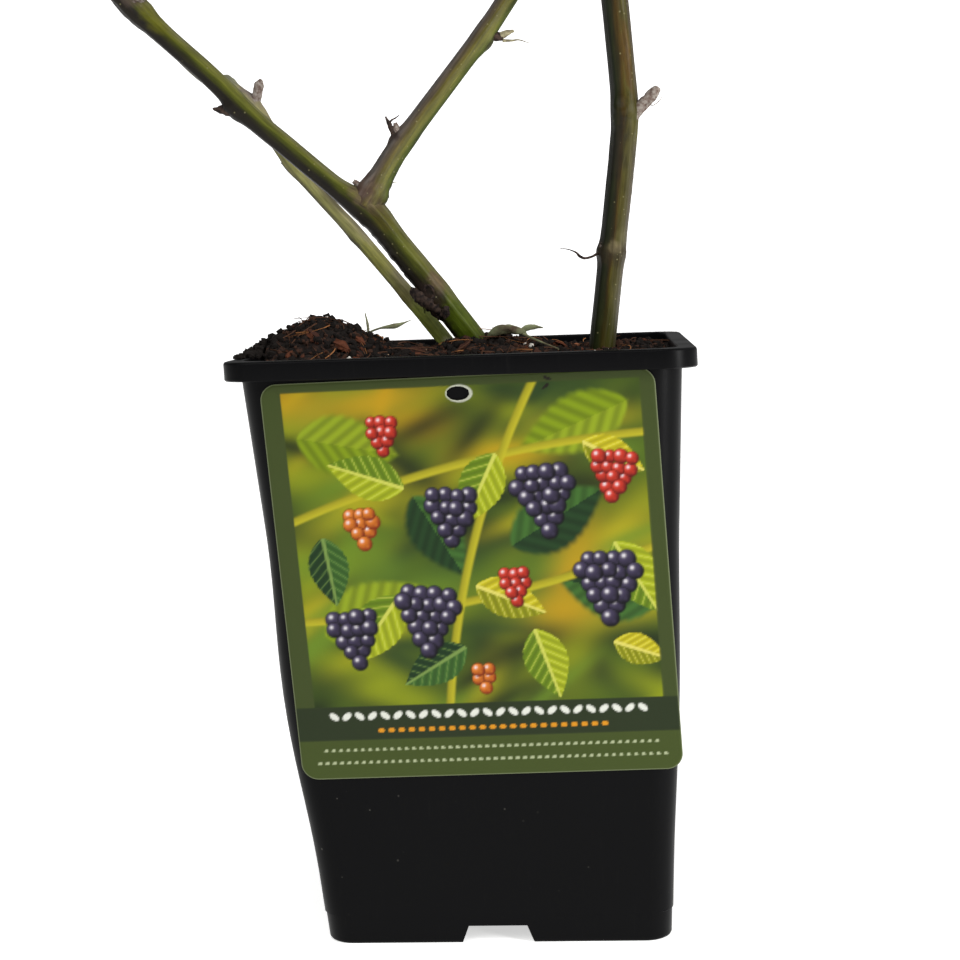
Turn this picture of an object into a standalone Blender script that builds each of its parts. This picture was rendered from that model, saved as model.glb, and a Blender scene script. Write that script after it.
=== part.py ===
# A thornless evergreen bramble with no leaves on it, potted. Three bare canes stand in compost in
# a square black nursery pot, one of them forks, and the pot carries a picture card.
# Metres, +Z up. The card faces -Y. The origin is the centre of the pot's underside.

import math
import random

import bmesh
import bpy
from mathutils import Matrix, Vector, noise
from mathutils.geometry import intersect_point_line

MM = 0.001
GAP = 0.3 * MM

# The moulded pot: a tapered square body with a turned-down rim and a notch under each side.
# It is soft: its rim has moved a little to the left, and its side walls belly out.
POT_HEIGHT = 156.5 * MM
BODY_TOP_WIDTH = 113 * MM
BODY_FOOT_WIDTH = 92.5 * MM
BODY_TOP_CORNER = 9 * MM
BODY_FOOT_CORNER = 6.5 * MM
WALL = 1.2 * MM
RIM_WIDTH = 120 * MM
RIM_CORNER = 11 * MM
RIM_DEPTH = 5 * MM
CORNER_STEPS = 4
RIM_SHIFT = -4.6 * MM
BELLY_LEFT = 2.2 * MM
BELLY_RIGHT = 0.8 * MM
BELLY_HEIGHT = 65 * MM
BELLY_REACH = 48 * MM
BODY_LEVELS = [share * BELLY_REACH for share in (-1, -0.55, 0, 0.55, 1)]
NOTCH_FOOT_WIDTH = 21 * MM
NOTCH_TOP_WIDTH = 15.5 * MM
NOTCH_HEIGHT = 4.8 * MM
NOTCH_RUN = 22 * MM
DRAIN_WIDTH = 8 * MM
DRAIN_FROM_CENTRE = 28 * MM

# The compost: a level bed with mounds, each a place (x, y), a height over the bed and a spread
SOIL_BED = 152.3 * MM
SOIL_WALL_TOP = 149 * MM
SOIL_RINGS = 9
SOIL_SIDE_STEPS = 7
SOIL_GRAIN = 1.3 * MM
SOIL_GRAIN_REACH = 6 * MM
SOIL_MOUNDS = [
    (-46 * MM, -8 * MM, 14 * MM, 18 * MM),
    (0 * MM, 5 * MM, 6.0 * MM, 19 * MM),
    (42 * MM, 12 * MM, 2.5 * MM, 22 * MM),
]
FOOT_SOCKET = 0.8 * MM
SOCKET_CLEARANCE = 1.2 * MM
SOCKET_REACH = 12 * MM

# The picture card, stuck to the front wall. Its sides lean over a little to the left, as the pot does.
CARD_WIDTH = 99.3 * MM
CARD_HEIGHT = 104.5 * MM
CARD_THICKNESS = 0.6 * MM
CARD_CORNER = 4.3 * MM
CARD_CENTRE_X = -2.5 * MM
CARD_CENTRE_HEIGHT = 99.2 * MM
CARD_TURN = math.radians(0.9)
CARD_LEAN = math.radians(2.0)
HOLE_WIDTH = 5.9 * MM
HOLE_HEIGHT = 3.6 * MM
HOLE_FROM_TOP = 4.4 * MM
HOLE_FROM_CENTRE = 0.3 * MM

# Canes: a five-ridged stem that swells at each node and narrows towards its tip. An internode is
# its length in mm, its lean from upright and its heading in degrees, counted from +X towards +Y,
# and its upper node's bud: the side of the stem that it is on, in degrees, and its length in mm.
# Side 0 is the stem's upper side, and on a stem that leans to the left side 90 faces -Y.
CANE_SIDES = 10
CANE_RIDGE = 0.05
NODE_SWELL = 1.16
NODE_HALF = 3 * MM
FOOT_BURIED = 6 * MM
BUD_SLIMNESS = 0.5
BUD_WIDTH = 3.6 * MM
BUD_TAPER = 0.45
BUD_ROOT = 0.4
BUD_LEAN = math.radians(60)

LEFT_FOOT = (-5.5 * MM, 6 * MM)
LEFT_RADII = (3.8 * MM, 3.6 * MM)
LEFT_INTERNODES = [
    (16.5, 33.7, 191, (140, 5.5)),
    (31.4, 38.6, 190, None),
    (47.6, 49.4, 188, (172, 3.4)),
    (34.4, 43.5, 187, (45, 5.0)),
    (25.4, 43.7, 190, None),
]
FORK_NODE = 2
FORK_THINNING = 0.76
FORK_RADII = (2.95 * MM, 2.7 * MM)
FORK_COLLAR = 1.35
FORK_INTERNODES = [
    (22.4, 32.1, 17, (10, 6.0)),
    (37.6, 39.6, 12, (180, 6.5)),
    (25.0, 36.7, 18, None),
]
REAR_FOOT = (-11.2 * MM, 11.6 * MM)
REAR_RADII = (2.35 * MM, 2.05 * MM)
REAR_INTERNODES = [
    (19.4, 38.4, 168.5, None),
    (26.5, 39.3, 171, None),
    (26.8, 43.2, 172, (190, 3.5)),
    (22.4, 33.2, 161, (350, 6.0)),
    (14.2, 66.7, 165, None),
    (32.1, 46.2, 162.5, None),
]
RIGHT_FOOT = (31.5 * MM, 0 * MM)
RIGHT_RADII = (3.7 * MM, 3.45 * MM)
RIGHT_INTERNODES = [
    (28.1, 7.8, 345, (-60, 4.0)),
    (37.9, 8.4, 327, (146, 9.0)),
    (34.7, 7.9, 237, (60, 6.0)),
    (23.2, 9.0, 236, None),
]

# The dry leaf stalks left at two nodes: the node, and in mm a reach sideways, a sag and a rise
STALK_RADIUS = 0.55 * MM
STALK_STEPS = 7
RIGHT_STALK = (1, -14.2, 2.4, 2.2)
FORK_STALK = (2, 12.0, -0.6, -1.6)

# Twigs: every stem is a run of internodes that shorten outwards, turn to and fro at the nodes
# and bend up, and a side shoot leaves each node, turned two fifths of the way round from the last
TWIG_SIDES = (8, 5, 4)
TWIG_NODES = (6, 5, 3)
FIRST_STEP = (29 * MM, 23 * MM, 15 * MM)
STEP_SHARE = 0.92
ZIGZAG = math.radians(9)
RISE = math.radians(3.5)
ROUND_STEP = math.radians(144)
SHOOT_ANGLE = math.radians(50)
SHOOT_SPREAD = math.radians(9)
SHOOT_RADIUS_SHARE = 0.52
TIP_RADIUS_SHARE = 0.5
LEAST_RADIUS = 0.75 * MM
SHOOT_ROOT = 0.4
TWIG_BUD_LENGTH = 4.0 * MM
TIP_BUD = 4.6 * MM
SPACE_REACH = 92 * MM
SPACE_MARGIN = 5 * MM
LIMB_CLEARANCE = 2.5 * MM
TWIG_CLEARANCE = 2.0 * MM
# For the masses on the left cane, its branch, the rear and the right cane: the seed of the rule
# and the turn of the leader at each node in degrees, which carries the crown round to all sides
LEADERS = [(4, 5), (11, 2), (23, -6), (32, 9)]


def clear_scene():
    for thing in list(bpy.data.objects):
        bpy.data.objects.remove(thing, do_unlink=True)


def new_collection(name):
    collection = bpy.data.collections.new(name)
    bpy.context.scene.collection.children.link(collection)
    return collection


def finish(name, colour, roughness, specular=0.5):
    material = bpy.data.materials.new(name)
    material.use_nodes = True
    shader = material.node_tree.nodes["Principled BSDF"]
    shader.inputs["Base Color"].default_value = (*colour, 1)
    shader.inputs["Roughness"].default_value = roughness
    shader.inputs["Specular IOR Level"].default_value = specular
    material.diffuse_color = (*colour, 1)
    return material


def add_object(name, mesh, collection, material=None):
    made = bpy.data.objects.new(name, mesh)
    collection.objects.link(made)
    if material:
        mesh.materials.clear()
        mesh.materials.append(material)
    return made


def object_from_bmesh(name, bm, collection, material=None):
    bmesh.ops.recalc_face_normals(bm, faces=bm.faces)
    mesh = bpy.data.meshes.new(name)
    bm.to_mesh(mesh)
    bm.free()
    return add_object(name, mesh, collection, material)


def as_cutter(cutter):
    cutter.hide_render = True
    cutter.display_type = "WIRE"
    return cutter


def cut(target, cutter):
    boolean = target.modifiers.new(cutter.name, "BOOLEAN")
    boolean.operation = "DIFFERENCE"
    boolean.object = cutter


def smooth(made, angle=35):
    made.data.shade_smooth()
    made.data.set_sharp_from_angle(angle=math.radians(angle))


def rounded_square(width, corner, height, left=0.0, right=0.0):
    """A level ring of points, whose left and right sides may stand further out. Higher up its
    centre is further over to the side that the rim has moved to."""
    shift = RIM_SHIFT * height / POT_HEIGHT
    points = []
    centre = width / 2 - corner
    for quarter in range(4):
        sx = 1 if quarter in (0, 3) else -1
        sy = 1 if quarter in (0, 1) else -1
        for step in range(CORNER_STEPS + 1):
            angle = (quarter + step / CORNER_STEPS) * math.pi / 2
            x = shift + sx * centre + corner * math.cos(angle)
            y = sy * centre + corner * math.sin(angle)
            points.append(Vector((x + (right if sx > 0 else -left), y, height)))
    return points


def body_ring(height, inset=0.0):
    """The body's outline at a height: it tapers to the foot, and its side walls belly out."""
    share = height / POT_HEIGHT
    width = BODY_FOOT_WIDTH + (BODY_TOP_WIDTH - BODY_FOOT_WIDTH) * share
    corner = BODY_FOOT_CORNER + (BODY_TOP_CORNER - BODY_FOOT_CORNER) * share
    away = min(1.0, abs(height - BELLY_HEIGHT) / BELLY_REACH)
    bulge = math.cos(away * math.pi / 2) ** 2
    return rounded_square(width - 2 * inset, corner - inset, height,
                          BELLY_LEFT * bulge, BELLY_RIGHT * bulge)


def loft(rings, apex=None):
    """A closed skin through rings of points. An apex closes the last ring with a fan."""
    bm = bmesh.new()
    verts = [[bm.verts.new(point) for point in ring] for ring in rings]
    for low, high in zip(verts, verts[1:]):
        for i in range(len(low)):
            j = (i + 1) % len(low)
            bm.faces.new((low[i], low[j], high[j], high[i]))
    bm.faces.new(list(reversed(verts[0])))
    if apex is None:
        bm.faces.new(verts[-1])
    else:
        top = bm.verts.new(apex)
        for i in range(len(verts[-1])):
            bm.faces.new((verts[-1][i], verts[-1][(i + 1) % len(verts[-1])], top))
    return bm


def notches(name, grow, collection):
    """The four tapered channels that run in from the middle of each side under the floor."""
    bm = bmesh.new()
    edge = BODY_FOOT_WIDTH / 2
    for quarter in range(4):
        block = bmesh.ops.create_cube(bm, size=2)["verts"]
        for vert in block:
            half = (NOTCH_FOOT_WIDTH if vert.co.z < 0 else NOTCH_TOP_WIDTH) / 2 + grow
            vert.co.x *= half
            vert.co.y = edge - NOTCH_RUN - grow if vert.co.y < 0 else edge + 2 * WALL
            vert.co.z = -2 * WALL if vert.co.z < 0 else NOTCH_HEIGHT + grow
        turn = Matrix.Rotation(quarter * math.pi / 2, 3, "Z")
        bmesh.ops.rotate(bm, cent=(0, 0, 0), matrix=turn, verts=block)
    return as_cutter(object_from_bmesh(name, bm, collection))


def drains(collection):
    """The round drain holes near the floor's corners."""
    bm = bmesh.new()
    for quarter in range(4):
        angle = math.radians(45 + 90 * quarter)
        away = math.sqrt(2) * DRAIN_FROM_CENTRE
        place = Matrix.Translation((away * math.cos(angle), away * math.sin(angle), 0))
        bmesh.ops.create_cone(bm, cap_ends=True, segments=12, radius1=DRAIN_WIDTH / 2,
                              radius2=DRAIN_WIDTH / 2, depth=4 * WALL, matrix=place)
    return as_cutter(object_from_bmesh("drain_holes", bm, collection))


def wall_levels(low, high):
    """The heights of the wall's rings, with more of them round the belly."""
    between = [BELLY_HEIGHT + level for level in BODY_LEVELS]
    return [low] + [level for level in between if low < level < high] + [high]


def make_pot(parts, cutters, plastic):
    under_rim = POT_HEIGHT - WALL
    lip_inside = RIM_WIDTH - 2 * WALL
    rings = [body_ring(level) for level in wall_levels(0, under_rim)]
    rings.append(rounded_square(lip_inside, RIM_CORNER - WALL, under_rim))
    rings.append(rounded_square(lip_inside, RIM_CORNER - WALL, POT_HEIGHT - RIM_DEPTH))
    rings.append(rounded_square(RIM_WIDTH, RIM_CORNER, POT_HEIGHT - RIM_DEPTH))
    rings.append(rounded_square(RIM_WIDTH, RIM_CORNER, POT_HEIGHT))
    pot = object_from_bmesh("pot", loft(rings), parts, plastic)
    inner = [body_ring(level, WALL) for level in wall_levels(WALL, under_rim)]
    mouth = [Vector((point.x, point.y, POT_HEIGHT + 2 * WALL)) for point in inner[-1]]
    cavity = as_cutter(object_from_bmesh("pot_cavity", loft(inner + [mouth]), cutters))
    cut(cavity, notches("floor_humps", WALL, cutters))
    cut(pot, cavity)
    cut(pot, notches("floor_notches", 0, cutters))
    cut(pot, drains(cutters))
    smooth(pot)


def soil_height(x, y):
    """The compost's surface: the bed, its mounds and an uneven crumb."""
    height = SOIL_BED
    for mound_x, mound_y, rise, spread in SOIL_MOUNDS:
        away = math.hypot(x - mound_x, y - mound_y)
        height += rise * math.exp(-(away / spread) ** 2)
    return height + SOIL_GRAIN * noise.noise(Vector((x, y, 0)) / SOIL_GRAIN_REACH)


def with_side_points(ring):
    """The same outline with points along its straight sides too."""
    points = []
    for i, point in enumerate(ring):
        points.append(point)
        if i % (CORNER_STEPS + 1) == CORNER_STEPS:
            after = ring[(i + 1) % len(ring)]
            for step in range(1, SOIL_SIDE_STEPS):
                points.append(point.lerp(after, step / SOIL_SIDE_STEPS))
    return points


def make_soil(parts, cutters, compost, canes):
    """The compost fills the pot over the floor's humps and has a shallow socket for each cane."""
    inset = WALL + GAP
    rings = [with_side_points(body_ring(level, inset))
             for level in wall_levels(inset, SOIL_WALL_TOP)]
    edge = rings[-1]
    centre = RIM_SHIFT * SOIL_WALL_TOP / POT_HEIGHT
    for ring in range(SOIL_RINGS, 0, -1):
        share = ring / SOIL_RINGS
        points = [(centre + (point.x - centre) * share, point.y * share) for point in edge]
        rings.append([Vector((x, y, soil_height(x, y))) for x, y in points])
    apex = Vector((centre, 0, soil_height(centre, 0)))
    soil = object_from_bmesh("soil", loft(rings, apex), parts, compost)
    cut(soil, notches("soil_humps", WALL + GAP, cutters))
    for cane in canes:
        bm = bmesh.new()
        floor = cane.nodes[0] - Vector((0, 0, GAP))
        place = Matrix.Translation(floor + Vector((0, 0, SOCKET_REACH / 2)))
        half = cane.radii[0] / cane.way(1).z + SOCKET_CLEARANCE
        bmesh.ops.create_cone(bm, cap_ends=True, segments=14, radius1=half, radius2=half,
                              depth=SOCKET_REACH, matrix=place)
        cut(soil, as_cutter(object_from_bmesh("socket_" + cane.name, bm, cutters)))
    smooth(soil, 60)


def make_card(parts, print_stock):
    """A flat plate with round corners and an oval hole, parallel to the front wall."""
    outline = rounded_rectangle(CARD_WIDTH, CARD_HEIGHT, CARD_CORNER)
    hole = oval((HOLE_FROM_CENTRE, CARD_HEIGHT / 2 - HOLE_FROM_TOP), HOLE_WIDTH, HOLE_HEIGHT)
    curve = bpy.data.curves.new("label_card", "CURVE")
    curve.dimensions = "2D"
    curve.fill_mode = "BOTH"
    curve.extrude = CARD_THICKNESS / 2
    for line in (outline, hole):
        spline = curve.splines.new("POLY")
        spline.use_cyclic_u = True
        spline.points.add(len(line) - 1)
        for knot, (x, y) in zip(spline.points, line):
            knot.co = (x, y, 0, 1)
    slope = math.atan2((BODY_TOP_WIDTH - BODY_FOOT_WIDTH) / 2, POT_HEIGHT)
    wall_y = -(BODY_FOOT_WIDTH / 2 + CARD_CENTRE_HEIGHT * math.tan(slope))
    off_wall = (GAP + CARD_THICKNESS / 2) / math.cos(slope)
    place = Matrix.Translation((CARD_CENTRE_X, wall_y - off_wall, CARD_CENTRE_HEIGHT))
    upright = Matrix.Rotation(math.pi / 2 + slope, 4, "X") @ Matrix.Rotation(CARD_TURN, 4, "Z")
    lean = Matrix.Identity(4)
    lean[0][1] = -math.tan(CARD_LEAN)
    mesh = curve_to_mesh(curve, "label_card")
    mesh.transform(place @ upright @ lean)
    add_object("label_card", mesh, parts, print_stock)


def rounded_rectangle(width, height, corner):
    points = []
    for quarter in range(4):
        sx = 1 if quarter in (0, 3) else -1
        sy = 1 if quarter in (0, 1) else -1
        for step in range(CORNER_STEPS + 1):
            angle = (quarter + step / CORNER_STEPS) * math.pi / 2
            points.append((sx * (width / 2 - corner) + corner * math.cos(angle),
                           sy * (height / 2 - corner) + corner * math.sin(angle)))
    return points


def oval(centre, width, height, steps=20):
    """An oval's points, clockwise, as a hole is drawn."""
    points = []
    for step in range(steps):
        angle = -step * math.tau / steps
        points.append((centre[0] + width / 2 * math.cos(angle),
                       centre[1] + height / 2 * math.sin(angle)))
    return points


def curve_to_mesh(curve, name):
    """The curve's own mesh with its caps welded on. The curve is removed."""
    drawn = bpy.data.objects.new(name + "_curve", curve)
    bpy.context.scene.collection.objects.link(drawn)
    depsgraph = bpy.context.evaluated_depsgraph_get()
    mesh = bpy.data.meshes.new_from_object(drawn.evaluated_get(depsgraph))
    bpy.data.objects.remove(drawn, do_unlink=True)
    bpy.data.curves.remove(curve)
    bm = bmesh.new()
    bm.from_mesh(mesh)
    bmesh.ops.remove_doubles(bm, verts=bm.verts, dist=0.001 * MM)
    bmesh.ops.recalc_face_normals(bm, faces=bm.faces)
    bm.to_mesh(mesh)
    bm.free()
    mesh.name = name
    return mesh


def stem_profile(sides, ridge):
    """A stem's section of radius one, with five low ridges if it has the sides to show them."""
    curve = bpy.data.curves.new("stem_profile_%d" % sides, "CURVE")
    curve.dimensions = "2D"
    spline = curve.splines.new("POLY")
    spline.use_cyclic_u = True
    spline.points.add(sides - 1)
    for i, knot in enumerate(spline.points):
        angle = i * math.tau / sides
        away = 1 + ridge * math.cos(5 * angle)
        knot.co = (away * math.cos(angle), away * math.sin(angle), 0, 1)
    profile = bpy.data.objects.new(curve.name, curve)
    bpy.context.scene.collection.objects.link(profile)
    return as_cutter(profile)


def stem_mesh(name, knots, profile):
    """A tube through (point, radius) knots."""
    curve = bpy.data.curves.new(name, "CURVE")
    curve.dimensions = "3D"
    curve.bevel_mode = "OBJECT"
    curve.bevel_object = profile
    curve.use_fill_caps = True
    spline = curve.splines.new("POLY")
    spline.points.add(len(knots) - 1)
    for knot, (point, radius) in zip(spline.points, knots):
        knot.co = (*point, 1)
        knot.radius = radius
    return curve_to_mesh(curve, name)


def direction(lean, heading):
    lean = math.radians(lean)
    heading = math.radians(heading)
    return Vector((math.sin(lean) * math.cos(heading), math.sin(lean) * math.sin(heading),
                   math.cos(lean)))


def side_of(axis, side):
    """The way out of a stem on one of its sides, square to its axis. 0 is its upper side."""
    level = Vector((0, 0, 1)).cross(axis).normalized()
    upper = axis.cross(level)
    return upper * math.cos(side) + level * math.sin(side)


class Limb:
    """A cane or its branch: its nodes, its thickness along them and its buds."""

    def __init__(self, name, start, internodes, radii, thinning=None, collar=1.0):
        self.name = name
        self.nodes = [start]
        self.reaches = [0.0]
        self.buds = []
        self.radii = radii
        self.thinning = thinning
        self.collar = collar
        for length, lean, heading, bud in internodes:
            self.nodes.append(self.nodes[-1] + direction(lean, heading) * length * MM)
            self.reaches.append(self.reaches[-1] + length * MM)
            self.buds.append(bud)

    def way(self, i):
        """The direction of the internode below a node."""
        return (self.nodes[i] - self.nodes[i - 1]).normalized()

    def radius(self, reach):
        """The thickness narrows steadily, and at once above a fork."""
        first, last = self.radii
        share = first + (last - first) * reach / self.reaches[-1]
        if self.thinning and reach > self.reaches[self.thinning[0]] + GAP:
            share *= self.thinning[1]
        return share

    def tip(self):
        return self.nodes[-1], self.way(-1), self.radius(self.reaches[-1])

    def knots(self, buried=0.0, grow=0.0):
        """The (point, radius) knots of its tube, which swells at each node."""
        first = self.radii[0]
        knots = [(self.nodes[0], first / self.collar + grow)]
        if buried:
            knots.insert(0, (self.nodes[0] - self.way(1) * buried, first))
        last = len(self.nodes) - 1
        for i in range(1, last + 1):
            low, high, way = self.nodes[i - 1], self.nodes[i], self.way(i)
            length = (high - low).length
            for out in (1.5 * NODE_HALF, length / 2, length - NODE_HALF):
                collar = self.collar if len(knots) == 1 else 1.0
                radius = self.radius(self.reaches[i - 1] + out) * collar
                knots.append((low + way * out, radius + grow))
            swell = NODE_SWELL if i < last else 1.0
            knots.append((high, self.radius(self.reaches[i]) * swell + grow))
        return knots

    def meshes(self, profile, buried=0.0):
        """Its tube and its buds."""
        made = [stem_mesh(self.name, self.knots(buried), profile)]
        for i, bud in enumerate(self.buds, 1):
            if bud is None:
                continue
            side, length = bud
            radius = self.radius(self.reaches[i])
            made.append(bud_at("%s_bud_%d" % (self.name, i), self.nodes[i], self.way(i), radius,
                               math.radians(side), length * MM, 6))
        return made


def bud_at(name, node, axis, radius, side, length, rounds):
    """A plump pointed bud that leans out of the stem at a node, with its root sunk in."""
    out = side_of(axis, side)
    way = (out * math.sin(BUD_LEAN) + axis * math.cos(BUD_LEAN)).normalized()
    root = node + out * radius * BUD_ROOT
    full = length + radius * (1 - BUD_ROOT)
    widest = min(BUD_WIDTH, length * BUD_SLIMNESS)
    bm = bmesh.new()
    bmesh.ops.create_uvsphere(bm, u_segments=rounds, v_segments=4, radius=0.5)
    for vert in bm.verts:
        width = widest * (1 - BUD_TAPER * max(0.0, vert.co.z * 2))
        vert.co = Vector((vert.co.x * width, vert.co.y * width, (vert.co.z + 0.5) * full))
    turn = way.to_track_quat("Z", "Y").to_matrix().to_4x4()
    bm.transform(Matrix.Translation(root) @ turn)
    mesh = bpy.data.meshes.new(name)
    bm.to_mesh(mesh)
    bm.free()
    return mesh


def fuse(name, meshes, collection, material):
    """One solid from overlapping meshes: a single union on a collection, applied."""
    rest = new_collection(name + "_pieces")
    for i, mesh in enumerate(meshes[1:]):
        add_object("%s_piece_%d" % (name, i), mesh, rest)
    base = add_object(name, meshes[0], collection)
    union = base.modifiers.new("union", "BOOLEAN")
    union.operation = "UNION"
    union.operand_type = "COLLECTION"
    union.collection = rest
    depsgraph = bpy.context.evaluated_depsgraph_get()
    mesh = bpy.data.meshes.new_from_object(base.evaluated_get(depsgraph))
    for thing in [base] + list(rest.objects):
        bpy.data.objects.remove(thing, do_unlink=True)
    bpy.data.collections.remove(rest)
    made = add_object(name, mesh, collection, material)
    smooth(made, 50)
    return made


def trim_foot(mesh, height):
    """The flat cut at the compost's surface."""
    bm = bmesh.new()
    bm.from_mesh(mesh)
    bmesh.ops.bisect_plane(bm, geom=bm.verts[:] + bm.edges[:] + bm.faces[:], clear_inner=True,
                           plane_co=(0, 0, height), plane_no=(0, 0, 1))
    bmesh.ops.edgeloop_fill(bm, edges=[edge for edge in bm.edges if edge.is_boundary])
    bmesh.ops.recalc_face_normals(bm, faces=bm.faces)
    bm.to_mesh(mesh)
    bm.free()


def stalk_mesh(limb, stalk, profile):
    """A dry leaf stalk: it leaves its node sideways, sags and flicks up or down at its end."""
    node, reach, sag, rise = stalk
    knots = []
    for step in range(STALK_STEPS + 1):
        along = step / STALK_STEPS
        lift = rise * along ** 2 - sag * math.sin(math.pi * along)
        offset = Vector((reach * along, -0.8 * along, lift)) * MM
        knots.append((limb.nodes[node] + offset, STALK_RADIUS * (1 - 0.45 * along)))
    return stem_mesh(limb.name + "_stalk", knots, profile)


def line_distance(point, line):
    """How far a point is from a line of points."""
    nearest = 1.0
    for low, high in zip(line, line[1:]):
        foot, share = intersect_point_line(point, low, high)
        foot = low if share < 0 else high if share > 1 else foot
        nearest = min(nearest, (point - foot).length)
    return nearest


class Stem:
    """One stem of a twig mass: its (point, radius) knots, its order and its side at each node."""

    def __init__(self, knots, order, sides):
        self.knots = knots
        self.order = order
        self.sides = sides

    def points(self):
        return [point for point, _ in self.knots]

    def axis(self, i):
        return (self.knots[i][0] - self.knots[i - 1][0]).normalized()


def run_of_nodes(start, way, radius, order, rng, turn=0.0):
    """The nodes of one stem. A leader's first internode runs straight on from its limb."""
    count = TWIG_NODES[order]
    step = FIRST_STEP[order]
    side = side_of(way, rng.uniform(0, math.tau))
    knots = [(start, radius)]
    for i in range(count):
        if order or i:
            zig = Matrix.Rotation(ZIGZAG * (1 if i % 2 else -1), 3, way.cross(side))
            lift = way.cross(Vector((0, 0, 1)))
            rise = Matrix.Rotation(RISE, 3, lift) if lift.length > 0.05 else Matrix.Identity(3)
            way = (Matrix.Rotation(turn, 3, "Z") @ rise @ zig @ way).normalized()
        share = (i + 1) / count
        end = radius * (1 + (TIP_RADIUS_SHARE - 1) * share)
        knots.append((knots[-1][0] + way * step, max(LEAST_RADIUS, end)))
        step *= STEP_SHARE
    sides = [rng.uniform(0, math.tau)]
    for _ in range(count):
        sides.append(sides[-1] + ROUND_STEP)
    return Stem(knots, order, sides)


def fits(stem, own_line, other_lines, limbs, stems):
    """Whether a side shoot keeps to its own mass's space and clear of limbs and of other twigs."""
    root = stem.knots[0][0]
    for (low, _), (high, radius) in zip(stem.knots, stem.knots[1:]):
        for share in (0.35, 0.7, 1.0):
            point = low.lerp(high, share)
            own = line_distance(point, own_line)
            if own > SPACE_REACH:
                return False
            if any(line_distance(point, line) < own + SPACE_MARGIN for line in other_lines):
                return False
            if any(line_distance(point, line) < thick + radius + LIMB_CLEARANCE
                   for line, thick in limbs):
                return False
            if (point - root).length < 9 * MM:
                continue
            for other in stems:
                if line_distance(point, other.points()) < 2 * radius + TWIG_CLEARANCE:
                    return False
    return True


def grow_mass(leader, rng, other_lines, limbs):
    """The leader and its side shoots, order by order. A shoot that doesn't fit is shortened
    node by node, and skipped where fewer than two internodes are left."""
    stems = [leader]
    own_line = leader.points()
    parents = [leader]
    for order in (1, 2):
        grown = []
        for parent in parents:
            for i in range(1, len(parent.knots) - 1):
                point, radius = parent.knots[i]
                axis = parent.axis(i)
                out = side_of(axis, parent.sides[i])
                angle = SHOOT_ANGLE + rng.uniform(-1, 1) * SHOOT_SPREAD
                way = axis * math.cos(angle) + out * math.sin(angle)
                start = point + out * radius * SHOOT_ROOT
                thick = max(LEAST_RADIUS, radius * SHOOT_RADIUS_SHARE)
                shoot = run_of_nodes(start, way, thick, order, rng)
                while len(shoot.knots) > 2:
                    if fits(shoot, own_line, other_lines, limbs, stems):
                        grown.append(shoot)
                        stems.append(shoot)
                        break
                    shoot.knots.pop()
        parents = grown
    return stems


def mass_meshes(name, stems, profiles):
    """A tube for each stem, which ends in a pointed bud on a shoot, and a bud at each node of
    the leader and of its side shoots, across from the shoot there."""
    meshes = []
    for s, stem in enumerate(stems):
        knots = list(stem.knots)
        if stem.order:
            point, radius = knots.pop()
            way = stem.axis(-1)
            knots.append((point - way * TIP_BUD, radius))
            knots.append((point - way * TIP_BUD * 0.65, radius * 1.35))
            knots.append((point, radius * 0.3))
        meshes.append(stem_mesh("%s_%d" % (name, s), knots, profiles[stem.order]))
        if stem.order == 2:
            continue
        for i in range(1, len(stem.knots) - 1):
            point, radius = stem.knots[i]
            meshes.append(bud_at("%s_%d_bud_%d" % (name, s, i), point, stem.axis(i), radius,
                                 stem.sides[i] + math.pi, TWIG_BUD_LENGTH, 4))
    return meshes


def foot_of(place):
    """The centre of a flat foot that stands in a shallow socket in the compost."""
    x, y = place
    return Vector((x, y, soil_height(x, y) - FOOT_SOCKET + GAP))


def make_limbs():
    """The three canes that rise from the compost, and the branch on the left one's fork."""
    left = Limb("cane_left", foot_of(LEFT_FOOT), LEFT_INTERNODES, LEFT_RADII,
                thinning=(FORK_NODE, FORK_THINNING))
    fork = Limb("cane_left_fork", left.nodes[FORK_NODE], FORK_INTERNODES, FORK_RADII,
                collar=FORK_COLLAR)
    rear = Limb("cane_rear", foot_of(REAR_FOOT), REAR_INTERNODES, REAR_RADII)
    right = Limb("cane_right", foot_of(RIGHT_FOOT), RIGHT_INTERNODES, RIGHT_RADII)
    return left, fork, rear, right


def make_canes(parts, cutters, bark, limbs, profile):
    """Each cane is cut flat at its foot. The branch sits on its cane like a saddle."""
    left, fork, rear, right = limbs
    stalks = {right.name: RIGHT_STALK, fork.name: FORK_STALK}
    for limb in limbs:
        buried = 0 if limb is fork else FOOT_BURIED
        meshes = limb.meshes(profile, buried)
        if limb.name in stalks:
            meshes.append(stalk_mesh(limb, stalks[limb.name], profile))
        made = fuse(limb.name, meshes, parts, bark[limb.name])
        if limb is fork:
            saddle = stem_mesh("fork_saddle", left.knots(grow=GAP), profile)
            cut(made, as_cutter(add_object("fork_saddle", saddle, cutters)))
        else:
            trim_foot(made.data, limb.nodes[0].z)


def make_twigs(parts, bark, limbs, profiles):
    """A mass of twigs on from each limb's tip."""
    leaders = []
    generators = []
    for limb, (seed, turn) in zip(limbs, LEADERS):
        point, way, radius = limb.tip()
        generators.append(random.Random(seed))
        leaders.append(run_of_nodes(point + way * GAP, way, radius, 0, generators[-1],
                                    math.radians(turn)))
    limb_lines = [(limb.nodes, limb.radii[0]) for limb in limbs]
    for limb, leader, generator in zip(limbs, leaders, generators):
        others = [other.points() for other in leaders if other is not leader]
        stems = grow_mass(leader, generator, others, limb_lines)
        name = limb.name.replace("cane", "twigs")
        fuse(name, mass_meshes(name, stems, profiles), parts, bark[limb.name])


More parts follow.
